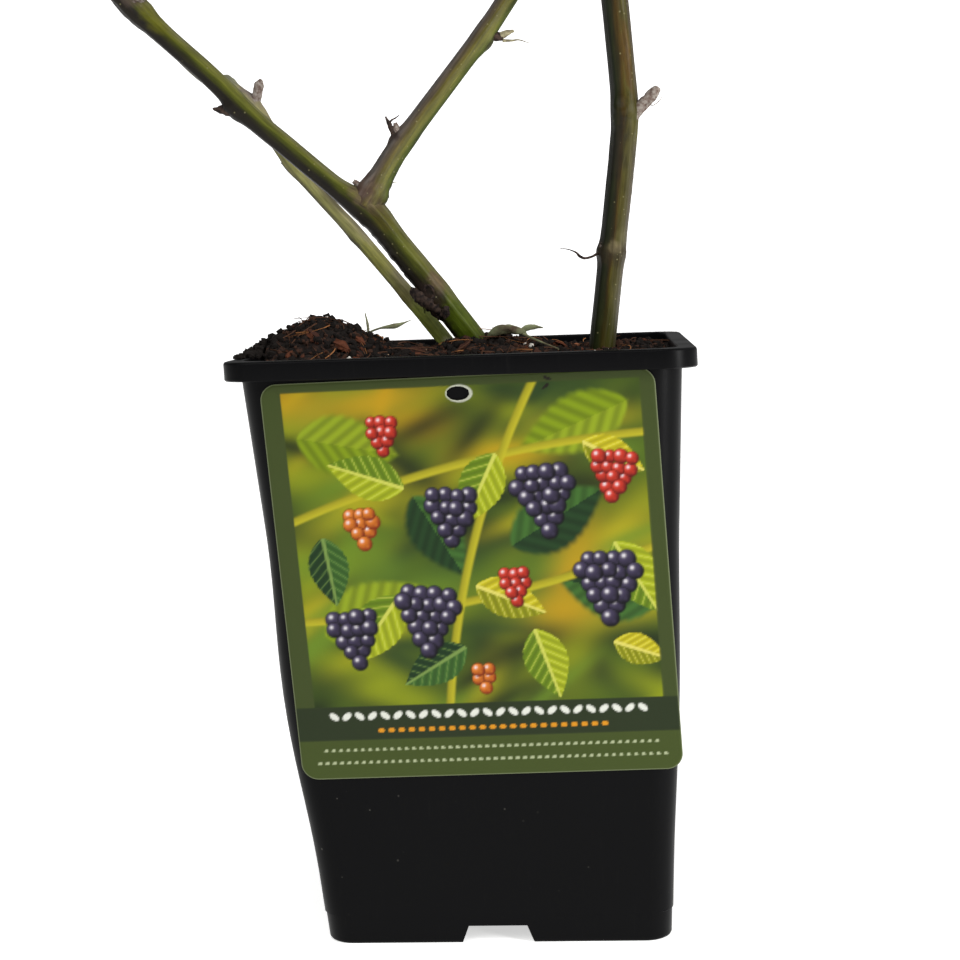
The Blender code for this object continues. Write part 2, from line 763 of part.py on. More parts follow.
def main():
    clear_scene()
    parts = new_collection("potted_thornless_evergreen_bramble")
    cutters = new_collection("cutters")
    plastic = finish("black_moulded_plastic", (0.008, 0.008, 0.009), 0.34)
    compost = finish("dark_compost", (0.012, 0.007, 0.005), 0.95, 0.2)
    print_stock = finish("printed_plastic_card", (0.05, 0.07, 0.02), 0.3)
    bark = {
        "cane_left": finish("olive_bark", (0.09, 0.10, 0.02), 0.5),
        "cane_left_fork": finish("purple_olive_bark", (0.14, 0.13, 0.04), 0.5),
        "cane_rear": finish("grey_green_bark", (0.21, 0.22, 0.11), 0.55),
        "cane_right": finish("dark_olive_bark", (0.05, 0.05, 0.012), 0.5),
    }
    limbs = make_limbs()
    make_pot(parts, cutters, plastic)
    make_soil(parts, cutters, compost, [limb for limb in limbs if limb.name != "cane_left_fork"])
    make_card(parts, print_stock)
    ridged = stem_profile(CANE_SIDES, CANE_RIDGE)
    profiles = [stem_profile(sides, 0) for sides in TWIG_SIDES]
    make_canes(parts, cutters, bark, limbs, ridged)
    make_twigs(parts, bark, limbs, profiles)
    for profile in [ridged] + profiles:
        bpy.data.objects.remove(profile, do_unlink=True)


main()
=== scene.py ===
# A thornless evergreen bramble with no leaves on it, potted, dressed piece by piece over its frame.
# Metres, +Z up. The picture card faces -Y, and the origin is the centre of the pot's underside.
import math
import random

import bmesh
import bpy
import numpy as np
from mathutils import Matrix, Vector, noise
from mathutils.geometry import intersect_point_line


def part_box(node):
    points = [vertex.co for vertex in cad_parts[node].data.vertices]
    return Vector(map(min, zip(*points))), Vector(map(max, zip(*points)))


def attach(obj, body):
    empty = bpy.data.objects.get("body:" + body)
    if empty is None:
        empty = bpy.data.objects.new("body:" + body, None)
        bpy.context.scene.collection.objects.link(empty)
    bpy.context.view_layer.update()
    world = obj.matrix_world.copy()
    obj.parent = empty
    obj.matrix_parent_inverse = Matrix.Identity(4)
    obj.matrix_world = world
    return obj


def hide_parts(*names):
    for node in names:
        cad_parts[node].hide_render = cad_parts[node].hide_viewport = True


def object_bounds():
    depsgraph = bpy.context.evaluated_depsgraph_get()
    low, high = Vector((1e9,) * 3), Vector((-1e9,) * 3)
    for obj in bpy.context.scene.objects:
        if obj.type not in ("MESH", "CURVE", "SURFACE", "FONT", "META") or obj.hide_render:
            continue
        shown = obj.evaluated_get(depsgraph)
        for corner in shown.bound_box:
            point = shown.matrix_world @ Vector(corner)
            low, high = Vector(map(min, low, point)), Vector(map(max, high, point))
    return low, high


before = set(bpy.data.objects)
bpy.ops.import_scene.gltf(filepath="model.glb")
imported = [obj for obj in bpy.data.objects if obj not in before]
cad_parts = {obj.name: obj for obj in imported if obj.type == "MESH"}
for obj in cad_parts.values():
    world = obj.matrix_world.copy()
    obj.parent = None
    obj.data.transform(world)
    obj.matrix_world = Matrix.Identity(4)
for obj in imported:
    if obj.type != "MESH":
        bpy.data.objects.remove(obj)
cad_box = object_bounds()
bpy.ops.object.select_all(action="DESELECT")

# Camera
# The photo was taken from half a metre in front of the pot, a little above its rim and to its
# right, looking slightly down, with the camera held a little crooked.
MM = 0.001
CAMERA_PLACE = Vector((33.1, -505.1, 176.9)) * MM
CAMERA_HEADING = math.radians(4.195)
CAMERA_DIP = math.radians(6.593)
CAMERA_ROLL = math.radians(-2.054)
CAMERA_LENS = 67.5

bpy.ops.object.camera_add()
camera = bpy.context.object
camera.name = "photo_camera"
camera.matrix_world = (Matrix.Translation(CAMERA_PLACE)
                       @ Matrix.Rotation(CAMERA_HEADING, 4, "Z")
                       @ Matrix.Rotation(math.pi / 2 - CAMERA_DIP, 4, "X")
                       @ Matrix.Rotation(CAMERA_ROLL, 4, "Z"))
camera.data.lens = CAMERA_LENS
camera.data.sensor_width = 36
camera.data.clip_start = 0.01
bpy.context.scene.camera = camera

# Pot
# A tall square nursery pot, injection moulded in thin black polypropylene. Its rim is turned over
# and down, and a channel runs in under the middle of each side. The walls are soft: the rim has
# moved to the left, and the left wall bellies out.
POT_HEIGHT = 156.5 * MM
TOP_WIDTH = 113 * MM
FOOT_WIDTH = 92.5 * MM
FOOT_CORNER = 6.5 * MM
FOOT_EDGE = 0.9 * MM
CORNER_STEPS = 12
WALL = 1.2 * MM
RIM_HALF = 60 * MM
RIM_DEPTH = 5 * MM
RIM_EDGE = 0.35 * MM
RIM_SHIFT = -4.6 * MM
BELLY_LEFT = 2.2 * MM
BELLY_RIGHT = 0.8 * MM
BELLY_HEIGHT = 65 * MM
BELLY_REACH = 48 * MM
MOULD_LINE = 8 * MM
MOULD_STEP = 0.3 * MM
RING_EVERY = 6 * MM
CHANNEL_FOOT = 21 * MM
CHANNEL_TOP = 15.5 * MM
CHANNEL_HEIGHT = 4.8 * MM
CHANNEL_RUN = 22 * MM
DRAIN_WIDTH = 8 * MM
DRAIN_FROM_CENTRE = 28 * MM


def wall_places(height, inset=0.0):
    """Where the left and right walls stand at a height, and how far the front and back ones."""
    shift = RIM_SHIFT * height / POT_HEIGHT
    half = (FOOT_WIDTH + (TOP_WIDTH - FOOT_WIDTH) * height / POT_HEIGHT) / 2 - inset
    away = min(1.0, abs(height - BELLY_HEIGHT) / BELLY_REACH)
    bulge = math.cos(away * math.pi / 2) ** 2
    return shift - half - BELLY_LEFT * bulge, shift + half + BELLY_RIGHT * bulge, half


def rim_places(height, half):
    shift = RIM_SHIFT * height / POT_HEIGHT
    return shift - half, shift + half, half


def start_outline(name, height, left, right, half):
    """A level square face with round corners, left selected in edit mode."""
    bpy.ops.mesh.primitive_plane_add(size=2 * half, location=((left + right) / 2, 0, height))
    made = bpy.context.object
    made.name = made.data.name = name
    bpy.ops.object.transform_apply(location=True)
    bpy.ops.object.mode_set(mode="EDIT")
    bpy.ops.mesh.bevel(offset=FOOT_CORNER, segments=CORNER_STEPS, affect="VERTICES")
    bpy.ops.mesh.select_all(action="SELECT")
    return made


def grow_to(made, height, left, right, half):
    """Extrudes the selected end of a form to a height and fits it to the walls there."""
    spots = [vert.co.copy() for vert in bmesh.from_edit_mesh(made.data).verts if vert.select]
    low_x = min(spot.x for spot in spots)
    high_x = max(spot.x for spot in spots)
    high_y = max(spot.y for spot in spots)
    middle = (low_x + high_x) / 2
    bpy.ops.mesh.extrude_region_move(
        TRANSFORM_OT_translate={"value": ((left + right) / 2 - middle, 0, height - spots[0].z)})
    share = ((right - left) / (high_x - low_x), half / high_y, 1)
    bpy.ops.transform.resize(value=share, center_override=((left + right) / 2, 0, 0))


def carve(made, tool):
    """Cuts the tool's shape out of a piece and throws the tool away."""
    bpy.context.view_layer.objects.active = made
    cut = made.modifiers.new("carve", "BOOLEAN")
    cut.object = tool
    bpy.ops.object.modifier_apply(modifier=cut.name)
    bpy.data.objects.remove(tool, do_unlink=True)


def channel_blocks(name, grow):
    """The four tapered blocks that cut the channels under the sides."""
    blocks = []
    edge = FOOT_WIDTH / 2
    for quarter in range(4):
        bpy.ops.object.select_all(action="DESELECT")
        bpy.ops.mesh.primitive_cube_add(size=1)
        block = bpy.context.object
        for vert in block.data.vertices:
            half = (CHANNEL_FOOT if vert.co.z < 0 else CHANNEL_TOP) / 2 + grow
            vert.co.x = half if vert.co.x > 0 else -half
            vert.co.y = edge - CHANNEL_RUN - grow if vert.co.y < 0 else edge + 2 * WALL
            vert.co.z = -2 * WALL if vert.co.z < 0 else CHANNEL_HEIGHT + grow
        block.rotation_euler.z = quarter * math.pi / 2
        bpy.ops.object.transform_apply(rotation=True)
        blocks.append(block)
    for block in blocks:
        block.select_set(True)
    bpy.ops.object.join()
    made = bpy.context.object
    made.name = name
    return made


pot = start_outline("pot_shell", 0, *wall_places(0, FOOT_EDGE))
grow_to(pot, FOOT_EDGE * 0.3, *wall_places(FOOT_EDGE * 0.3, FOOT_EDGE * 0.3 + MOULD_STEP))
grow_to(pot, FOOT_EDGE, *wall_places(FOOT_EDGE, MOULD_STEP))
grow_to(pot, MOULD_LINE - MOULD_STEP, *wall_places(MOULD_LINE - MOULD_STEP, MOULD_STEP))
under_rim = POT_HEIGHT - WALL
for height in np.arange(MOULD_LINE, under_rim, RING_EVERY):
    grow_to(pot, height, *wall_places(height))
grow_to(pot, under_rim, *wall_places(under_rim))
rim_foot = POT_HEIGHT - RIM_DEPTH
for height, half in (
        (under_rim, RIM_HALF - WALL),
        (rim_foot + RIM_EDGE, RIM_HALF - WALL),
        (rim_foot, RIM_HALF - WALL + RIM_EDGE),
        (rim_foot, RIM_HALF - RIM_EDGE),
        (rim_foot + RIM_EDGE, RIM_HALF),
        (POT_HEIGHT - 2 * RIM_EDGE, RIM_HALF),
        (POT_HEIGHT - 0.6 * RIM_EDGE, RIM_HALF - 0.5 * RIM_EDGE),
        (POT_HEIGHT, RIM_HALF - 2 * RIM_EDGE)):
    grow_to(pot, height, *rim_places(height, half))
bpy.ops.object.mode_set(mode="OBJECT")

hollow = start_outline("pot_hollow", WALL, *wall_places(WALL, WALL))
for height in np.arange(MOULD_LINE, POT_HEIGHT - WALL, RING_EVERY):
    grow_to(hollow, height, *wall_places(height, WALL))
for height, inset in ((POT_HEIGHT - 2 * RIM_EDGE, WALL), (POT_HEIGHT - 0.5 * RIM_EDGE, WALL - 0.4 * RIM_EDGE),
                      (POT_HEIGHT + WALL, WALL - 3 * RIM_EDGE)):
    grow_to(hollow, height, *wall_places(height, inset))
bpy.ops.object.mode_set(mode="OBJECT")
carve(hollow, channel_blocks("channel_roofs", WALL))
carve(pot, hollow)
carve(pot, channel_blocks("channels", 0))
for quarter in range(4):
    angle = math.radians(45 + 90 * quarter)
    away = math.sqrt(2) * DRAIN_FROM_CENTRE
    bpy.ops.mesh.primitive_cylinder_add(radius=DRAIN_WIDTH / 2, depth=4 * WALL, vertices=32,
                                        location=(away * math.cos(angle), away * math.sin(angle), 0))
    carve(pot, bpy.context.object)
bpy.ops.object.select_all(action="DESELECT")
pot.select_set(True)
bpy.context.view_layer.objects.active = pot
bpy.ops.object.shade_smooth_by_angle(angle=math.radians(50))
weigh = pot.modifiers.new("even shading", "WEIGHTED_NORMAL")
weigh.keep_sharp = True
bpy.ops.object.modifier_apply(modifier=weigh.name)


def linear(code):
    """An sRGB hex value as the linear colour that a shader takes."""
    shares = [int(code[i:i + 2], 16) / 255 for i in (1, 3, 5)]
    return [share / 12.92 if share <= 0.04045 else ((share + 0.055) / 1.055) ** 2.4
            for share in shares]


def add(tree, kind, settings=(), values=(), links=()):
    """One node of a material: its settings, its sockets' values and what feeds its sockets."""
    made = tree.nodes.new("ShaderNode" + kind)
    for key, value in dict(settings).items():
        setattr(made, key, value)
    for key, value in dict(values).items():
        made.inputs[key].default_value = value
    for key, source in dict(links).items():
        tree.links.new(source, made.inputs[key])
    return made


def new_finish(name, code, roughness, specular=0.5):
    """A material with its colour, roughness and gloss, and its tree and shader to build on."""
    material = bpy.data.materials.new(name)
    material.use_nodes = True
    tree = material.node_tree
    shader = tree.nodes["Principled BSDF"]
    shader.inputs["Base Color"].default_value = linear(code) + [1]
    shader.inputs["Roughness"].default_value = roughness
    shader.inputs["Specular IOR Level"].default_value = specular
    return material, tree, shader


def polypropylene():
    """Black moulded polypropylene: near black, with a soft sheen that is dulled in patches by
    handling, faint scuffs up and down the walls and a little pale dust."""
    material, tree, shader = new_finish("black moulded polypropylene", "#060607", 0.4, 0.06)
    place = add(tree, "TexCoord").outputs["Object"]
    patches = add(tree, "TexNoise", values={"Scale": 1 / 0.028, "Detail": 3},
                  links={"Vector": place}).outputs["Fac"]
    stretched = add(tree, "Mapping", values={"Scale": (1, 1, 0.06)}, links={"Vector": place})
    scuffs = add(tree, "TexNoise", values={"Scale": 1 / 0.0009, "Detail": 4, "Roughness": 0.7},
                 links={"Vector": stretched.outputs["Vector"]}).outputs["Fac"]
    worn = add(tree, "MapRange", values={"From Min": 0.6, "From Max": 0.78, "To Max": 0.16},
               links={"Value": scuffs}).outputs["Result"]
    dull = add(tree, "MapRange", values={"From Min": 0.3, "From Max": 0.7, "To Min": 0.3, "To Max": 0.42},
               links={"Value": patches}).outputs["Result"]
    rough = add(tree, "Math", {"operation": "ADD"}, links={0: dull, 1: worn}).outputs["Value"]
    tree.links.new(rough, shader.inputs["Roughness"])
    specks = add(tree, "TexVoronoi", values={"Scale": 1 / 0.0042},
                 links={"Vector": place}).outputs["Distance"]
    dust = add(tree, "MapRange", values={"From Min": 0.085, "From Max": 0.05, "To Max": 0.5},
               links={"Value": specks}).outputs["Result"]
    some = add(tree, "MapRange", values={"From Min": 0.52, "From Max": 0.66},
               links={"Value": patches}).outputs["Result"]
    shown = add(tree, "Math", {"operation": "MULTIPLY"}, links={0: dust, 1: some}).outputs["Value"]
    film = add(tree, "Math", {"operation": "MULTIPLY_ADD"}, {1: 0.12}, {0: worn, 2: shown})
    colour = add(tree, "Mix", {"data_type": "RGBA"},
                 {"A": linear("#060607") + [1], "B": linear("#5c5a54") + [1]},
                 {"Factor": film.outputs["Value"]}).outputs["Result"]
    tree.links.new(colour, shader.inputs["Base Color"])
    waves = add(tree, "TexNoise", values={"Scale": 1 / 0.045, "Detail": 1},
                links={"Vector": place}).outputs["Fac"]
    wavy = add(tree, "Bump", values={"Strength": 0.25, "Distance": 0.002}, links={"Height": waves})
    grain = add(tree, "TexNoise", values={"Scale": 1 / 0.0005, "Detail": 2},
                links={"Vector": place}).outputs["Fac"]
    fine = add(tree, "Bump", values={"Strength": 0.12, "Distance": 0.00004},
               links={"Height": grain, "Normal": wavy.outputs["Normal"]})
    tree.links.new(fine.outputs["Normal"], shader.inputs["Normal"])
    return material


pot.data.materials.append(polypropylene())
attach(pot, "root")
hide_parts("pot")

# Compost
# Dark peat and bark compost, filled in by hand to a little under the rim and heaped up on the left.
# The body of peat carries loose crumbs, bark chips, root fibres, perlite and a dry leaf.
SOIL_BED = 152.3 * MM
SOIL_FLOOR = 6.5 * MM
SOIL_GAP = 0.3 * MM
SOIL_CORNER = 7 * MM
SOIL_GRAIN = 1.3 * MM
SOIL_GRAIN_REACH = 6 * MM
SOIL_MOUNDS = [
    (-46 * MM, -8 * MM, 12.6 * MM, 19 * MM),
    (0 * MM, 5 * MM, 6.0 * MM, 19 * MM),
    (42 * MM, 12 * MM, 2.5 * MM, 22 * MM),
]
SOIL_STEPS = 200
CLODS = ((3.6 * MM, 0.9 * MM), (1.5 * MM, 0.5 * MM))


def soil_height(x, y):
    """The filled surface: a level bed, its mounds and an uneven crumb."""
    height = SOIL_BED
    for mound_x, mound_y, rise, spread in SOIL_MOUNDS:
        away = math.hypot(x - mound_x, y - mound_y)
        height += rise * math.exp(-(away / spread) ** 2)
    return height + SOIL_GRAIN * noise.noise(Vector((x, y, 0)) / SOIL_GRAIN_REACH)


def clod_height(x, y):
    """The same surface broken up into clods, most of all where it is heaped."""
    height = soil_height(x, y)
    loose = 0.7 + 0.9 * max(0.0, height - SOIL_BED) / SOIL_MOUNDS[0][2]
    spot = Vector((x, y, height))
    return height + sum(loose * size * noise.noise(spot / reach) for reach, size in CLODS)


soil_left, soil_right, soil_half = wall_places(SOIL_BED, WALL + SOIL_GAP)
soil_middle = (soil_left + soil_right) / 2
bpy.ops.mesh.primitive_grid_add(x_subdivisions=SOIL_STEPS, y_subdivisions=SOIL_STEPS, size=2)
soil = bpy.context.object
soil.name = soil.data.name = "compost_body"
straight = soil_half - SOIL_CORNER
for vert in soil.data.vertices:
    x, y = vert.co.x * soil_half, vert.co.y * soil_half
    past_x, past_y = abs(x) - straight, abs(y) - straight
    if past_x > 0 and past_y > 0:
        pull = max(past_x, past_y) / math.hypot(past_x, past_y)
        x = math.copysign(straight + past_x * pull, x)
        y = math.copysign(straight + past_y * pull, y)
    vert.co = (soil_middle + x, y, clod_height(soil_middle + x, y))
bpy.ops.object.mode_set(mode="EDIT")
bpy.ops.mesh.select_mode(type="EDGE")
bpy.ops.mesh.select_all(action="DESELECT")
bpy.ops.mesh.select_non_manifold()
bpy.ops.mesh.extrude_region()
foot_half = wall_places(SOIL_FLOOR, WALL + SOIL_GAP)[2]
bpy.ops.transform.resize(value=(foot_half / soil_half, foot_half / soil_half, 0),
                         center_override=(soil_middle, 0, SOIL_FLOOR))
bpy.ops.transform.translate(value=(-soil_middle, 0, 0))
bpy.ops.mesh.edge_face_add()
bpy.ops.mesh.select_all(action="SELECT")
bpy.ops.mesh.normals_make_consistent(inside=False)
bpy.ops.object.mode_set(mode="OBJECT")
bpy.ops.object.shade_smooth()


def compost():
    """Damp peat: nearly black, matt, with browner and redder crumbs of bark in it."""
    material, tree, shader = new_finish("damp peat compost", "#1a110d", 0.92, 0.25)
    place = add(tree, "TexCoord").outputs["Object"]
    lumps = add(tree, "TexNoise", values={"Scale": 1 / 0.0016, "Detail": 5, "Roughness": 0.7},
                links={"Vector": place}).outputs["Fac"]
    ramp = add(tree, "ValToRGB", links={"Fac": lumps})
    ramp.color_ramp.elements[0].position = 0.34
    ramp.color_ramp.elements[0].color = linear("#0c0806") + [1]
    ramp.color_ramp.elements[1].position = 0.72
    ramp.color_ramp.elements[1].color = linear("#4a2f22") + [1]
    middle = ramp.color_ramp.elements.new(0.52)
    middle.color = linear("#1d130e") + [1]
    tree.links.new(ramp.outputs["Color"], shader.inputs["Base Color"])
    bump = add(tree, "Bump", values={"Strength": 0.8, "Distance": 0.0006}, links={"Height": lumps})
    tree.links.new(bump.outputs["Normal"], shader.inputs["Normal"])
    return material


soil.data.materials.append(compost())
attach(soil, "root")
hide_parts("soil")


def take_template():
    """The active object's points and faces. The object itself is thrown away."""
    mesh = bpy.context.object.data
    points = np.array([vert.co for vert in mesh.vertices])
    faces = [list(face.vertices) for face in mesh.polygons]
    bpy.data.objects.remove(bpy.context.object, do_unlink=True)
    return points, faces


def join_copies(name, template, placings, material):
    """One piece made of many copies of a template, each with its own reshaped points."""
    points, faces = template
    all_points = []
    all_faces = []
    for matrix, reshape in placings:
        shaped = reshape(points)
        turned = shaped @ np.array(matrix.to_3x3()).T + np.array(matrix.translation)
        offset = len(all_points) * len(points)
        all_points.append(turned)
        all_faces.extend([[corner + offset for corner in face] for face in faces])
    mesh = bpy.data.meshes.new(name)
    mesh.from_pydata(np.concatenate(all_points).tolist(), [], all_faces)
    mesh.materials.append(material)
    made = bpy.data.objects.new(name, mesh)
    bpy.context.scene.collection.objects.link(made)
    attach(made, "root")
    return made


def inside_pot(rng, margin):
    """A random place on the compost, with its surface's height there."""
    reach = soil_half - margin
    x = soil_middle + rng.uniform(-reach, reach)
    y = rng.uniform(-reach, reach)
    return Vector((x, y, clod_height(x, y)))


def any_turn(rng):
    return Matrix.Rotation(rng.uniform(0, math.tau), 4, (rng.gauss(0, 1), rng.gauss(0, 1), rng.gauss(0, 1)))


def lying(rng, place, tilt):
    """At a place on the surface, along its slope there, turned at random and tilted a little."""
    run = 3 * MM
    x, y = place.x, place.y
    rise_x = (soil_height(x + run, y) - soil_height(x - run, y)) / (2 * run)
    rise_y = (soil_height(x, y + run) - soil_height(x, y - run)) / (2 * run)
    slope = Vector((-rise_x, -rise_y, 1)).to_track_quat("Z", "Y").to_matrix().to_4x4()
    return (Matrix.Translation(place) @ slope @ Matrix.Rotation(rng.uniform(-tilt, tilt), 4, "X")
            @ Matrix.Rotation(rng.uniform(-tilt, tilt), 4, "Y") @ Matrix.Rotation(rng.uniform(0, math.tau), 4, "Z"))


def uneven(rng, sizes, jitter):
    """Scales the points to three half sizes and moves each of them in or out at random."""
    seed = rng.randrange(10 ** 6)

    def reshape(points):
        moves = 1 + jitter * (2 * np.random.default_rng(seed).random((len(points), 1)) - 1)
        return points * np.array(sizes) * moves
    return reshape


def crumb_finish(name, code):
    """A loose crumb of peat or bark: one flat colour with a dry, rough skin."""
    material, tree, shader = new_finish(name, code, 0.95, 0.2)
    place = add(tree, "TexCoord").outputs["Object"]
    grit = add(tree, "TexNoise", values={"Scale": 1 / 0.0004, "Detail": 3},
               links={"Vector": place}).outputs["Fac"]
    bump = add(tree, "Bump", values={"Strength": 0.7, "Distance": 0.0002}, links={"Height": grit})
    tree.links.new(bump.outputs["Normal"], shader.inputs["Normal"])
    return material


CRUMB_KINDS = [
    ("peat_crumbs", "crumbled peat", "#15100d", 2900, (0.35, 1.3)),
    ("brown_crumbs", "crumbled brown peat", "#38241a", 1500, (0.3, 1.1)),
    ("rusty_crumbs", "crumbled bark", "#4a2a1d", 420, (0.3, 0.95)),
    ("pale_crumbs", "crumbled dry fibre", "#8d7660", 110, (0.25, 0.6)),
]
MOUND_CLODS = 230
MOUND_CLOD_HALF = (0.8, 1.9)
SPILL_CLODS = 130
SPILL_REACH = 6 * MM
RIM_CRUMBS = 40


def crumb_placings(rng, count, halves, margin):
    for _ in range(count):
        half = rng.uniform(*halves) ** 1.3 * MM
        place = inside_pot(rng, margin)
        sizes = [half * rng.uniform(0.6, 1.15) for _ in range(3)]
        yield Matrix.Translation(place + Vector((0, 0, 0.35 * half))) @ any_turn(rng), uneven(rng, sizes, 0.3)


def mound_placings(rng):
    """Larger clods on the heap and crumbs that have rolled on to the rim beside it."""
    mound_x, mound_y, _, spread = SOIL_MOUNDS[0]
    for _ in range(MOUND_CLODS):
        x = max(soil_left + 2 * MM, rng.gauss(mound_x, 0.5 * spread))
        y = rng.gauss(mound_y, 0.55 * spread)
        half = rng.uniform(*MOUND_CLOD_HALF) * MM
        sizes = [half * rng.uniform(0.55, 1.1) for _ in range(3)]
        yield (Matrix.Translation((x, y, clod_height(x, y) - 0.15 * half)) @ any_turn(rng),
               uneven(rng, sizes, 0.35))
    for _ in range(SPILL_CLODS):
        out = rng.uniform(0, 1) ** 1.4
        y = rng.gauss(mound_y - 2 * MM, 0.5 * spread)
        pile = 4.6 * MM * (1 - out) ** 1.1 * math.exp(-((y - mound_y) / spread) ** 2)
        half = rng.uniform(0.6, 1.5) * MM
        sizes = [half * rng.uniform(0.6, 1.1) for _ in range(3)]
        place = (soil_left - 1 * MM - out * SPILL_REACH * 0.85, y, POT_HEIGHT + 0.4 * half + rng.uniform(0, pile))
        yield Matrix.Translation(place) @ any_turn(rng), uneven(rng, sizes, 0.35)
    for _ in range(RIM_CRUMBS):
        x = -4.6 * MM - RIM_HALF + rng.uniform(0.5, 6.5) * MM
        y = rng.gauss(-22, 13) * MM
        half = rng.uniform(0.35, 1.1) * MM
        yield Matrix.Translation((x, y, POT_HEIGHT + 0.5 * half)) @ any_turn(rng), uneven(rng, [half] * 3, 0.35)


bpy.ops.object.select_all(action="DESELECT")
bpy.ops.mesh.primitive_ico_sphere_add(subdivisions=1, radius=1)
crumb = take_template()
for seed, (name, stuff, code, count, halves) in enumerate(CRUMB_KINDS):
    rng = random.Random(seed)
    placings = list(crumb_placings(rng, count, halves, 1.5 * MM))
    if not seed:
        placings += list(mound_placings(rng))
    join_copies(name, crumb, placings, crumb_finish(stuff, code))

PERLITE_GRAINS = 46
rng = random.Random(11)
grains = []
for _ in range(PERLITE_GRAINS):
    half = rng.uniform(0.3, 0.75) * MM
    grains.append((Matrix.Translation(inside_pot(rng, 3 * MM) + Vector((0, 0, 0.8 * half))) @ any_turn(rng),
                   uneven(rng, [half] * 3, 0.2)))
bpy.ops.mesh.primitive_ico_sphere_add(subdivisions=2, radius=1)
join_copies("perlite_grains", take_template(), grains, crumb_finish("expanded perlite", "#d8d4ca"))

# (x, y, length, width, thickness, turn in degrees, tilt in degrees) in mm of the chips that show
CHOSEN_CHIPS = [
    (46, -42, 10.5, 3.4, 1.2, 8, 6), (39, -44, 6, 2.2, 0.9, -24, 10), (-28, -46, 5.5, 1.8, 0.8, 12, 14),
    (-38, -24, 5.2, 3.0, 1.8, -30, 32), (-32.5, -30, 4.2, 2.6, 1.4, 20, 20), (22, -28, 5, 2, 0.9, 14, 12),
]
CHIP_KINDS = [("bark_chips", "#57301f", 60), ("dark_bark_chips", "#3a2118", 70), ("pale_bark_chips", "#a4694a", 16)]


def splinter(rng, length, width, thickness):
    """A split chip: pointed ends, a ragged outline and a slight twist."""
    seed = rng.randrange(10 ** 6)

    def reshape(points):
        draws = np.random.default_rng(seed)
        shaped = points * np.array([length, width, thickness]) / 2
        narrow = 1 - 0.55 * np.abs(points[:, :1]) ** 2
        shaped[:, 1:] *= narrow
        twist = 0.5 * draws.standard_normal() * points[:, 0]
        y, z = shaped[:, 1].copy(), shaped[:, 2].copy()
        shaped[:, 1] = y * np.cos(twist) - z * np.sin(twist)
        shaped[:, 2] = y * np.sin(twist) + z * np.cos(twist)
        return shaped + draws.uniform(-0.09, 0.09, points.shape) * width
    return reshape


bpy.ops.mesh.primitive_cube_add(size=2)
bpy.ops.object.mode_set(mode="EDIT")
bpy.ops.mesh.subdivide(number_cuts=2)
bpy.ops.object.mode_set(mode="OBJECT")
chip = take_template()
for seed, (name, code, count) in enumerate(CHIP_KINDS, 21):
    rng = random.Random(seed)
    placings = []
    for _ in range(count):
        length = rng.uniform(2.2, 6.5) * MM
        placings.append((lying(rng, inside_pot(rng, 4 * MM) + Vector((0, 0, 0.3 * MM)), 0.4),
                         splinter(rng, length, length * rng.uniform(0.22, 0.5), rng.uniform(0.5, 1.1) * MM)))
    if name == "bark_chips":
        for x, y, length, width, thickness, turn, tilt in CHOSEN_CHIPS:
            spot = Vector((x * MM, y * MM, clod_height(x * MM, y * MM) + 0.8 * thickness * MM))
            placings.append((Matrix.Translation(spot) @ Matrix.Rotation(math.radians(turn), 4, "Z")
                             @ Matrix.Rotation(math.radians(tilt), 4, "Y"),
                             splinter(rng, length * MM, width * MM, thickness * MM)))
    join_copies(name, chip, placings, crumb_finish(name.replace("_", " "), code))

FIBRE_KINDS = [("root_fibres", "#4d3324", 330, (4, 15)), ("pale_fibres", "#96643c", 60, (5, 16))]


def bent_fibre(rng, length, thickness):
    """A thin root or straw, bent sideways and arched a little off the surface."""
    sideways = rng.uniform(-0.9, 0.9) * length
    arch = rng.uniform(0.0, 0.35) * length

    def reshape(points):
        along = points[:, 2] / 2
        shaped = points * thickness / 2
        shaped[:, 2] = along * length
        shaped[:, 1] += sideways * along ** 2
        shaped[:, 0] += arch * (0.25 - along ** 2)
        return shaped
    return reshape


bpy.ops.mesh.primitive_cylinder_add(vertices=3, radius=1, depth=2)
bpy.ops.object.mode_set(mode="EDIT")
bpy.ops.mesh.select_all(action="DESELECT")
bpy.ops.object.mode_set(mode="OBJECT")
for edge in bpy.context.object.data.edges:
    low, high = (bpy.context.object.data.vertices[i].co.z for i in edge.vertices)
    edge.select = low * high < 0
bpy.ops.object.mode_set(mode="EDIT")
bpy.ops.mesh.select_mode(type="EDGE")
bpy.ops.mesh.subdivide(number_cuts=5)
bpy.ops.object.mode_set(mode="OBJECT")
fibre = take_template()
for seed, (name, code, count, lengths) in enumerate(FIBRE_KINDS, 31):
    rng = random.Random(seed)
    placings = []
    for _ in range(count):
        length = rng.uniform(*lengths) * MM
        spot = inside_pot(rng, 5 * MM) + Vector((0, 0, 0.4 * MM))
        placings.append((lying(rng, spot, 0.15) @ Matrix.Rotation(-math.pi / 2, 4, "Y"),
                         bent_fibre(rng, length, rng.uniform(0.16, 0.42) * MM)))
    join_copies(name, fibre, placings, crumb_finish(name.replace("_", " "), code))


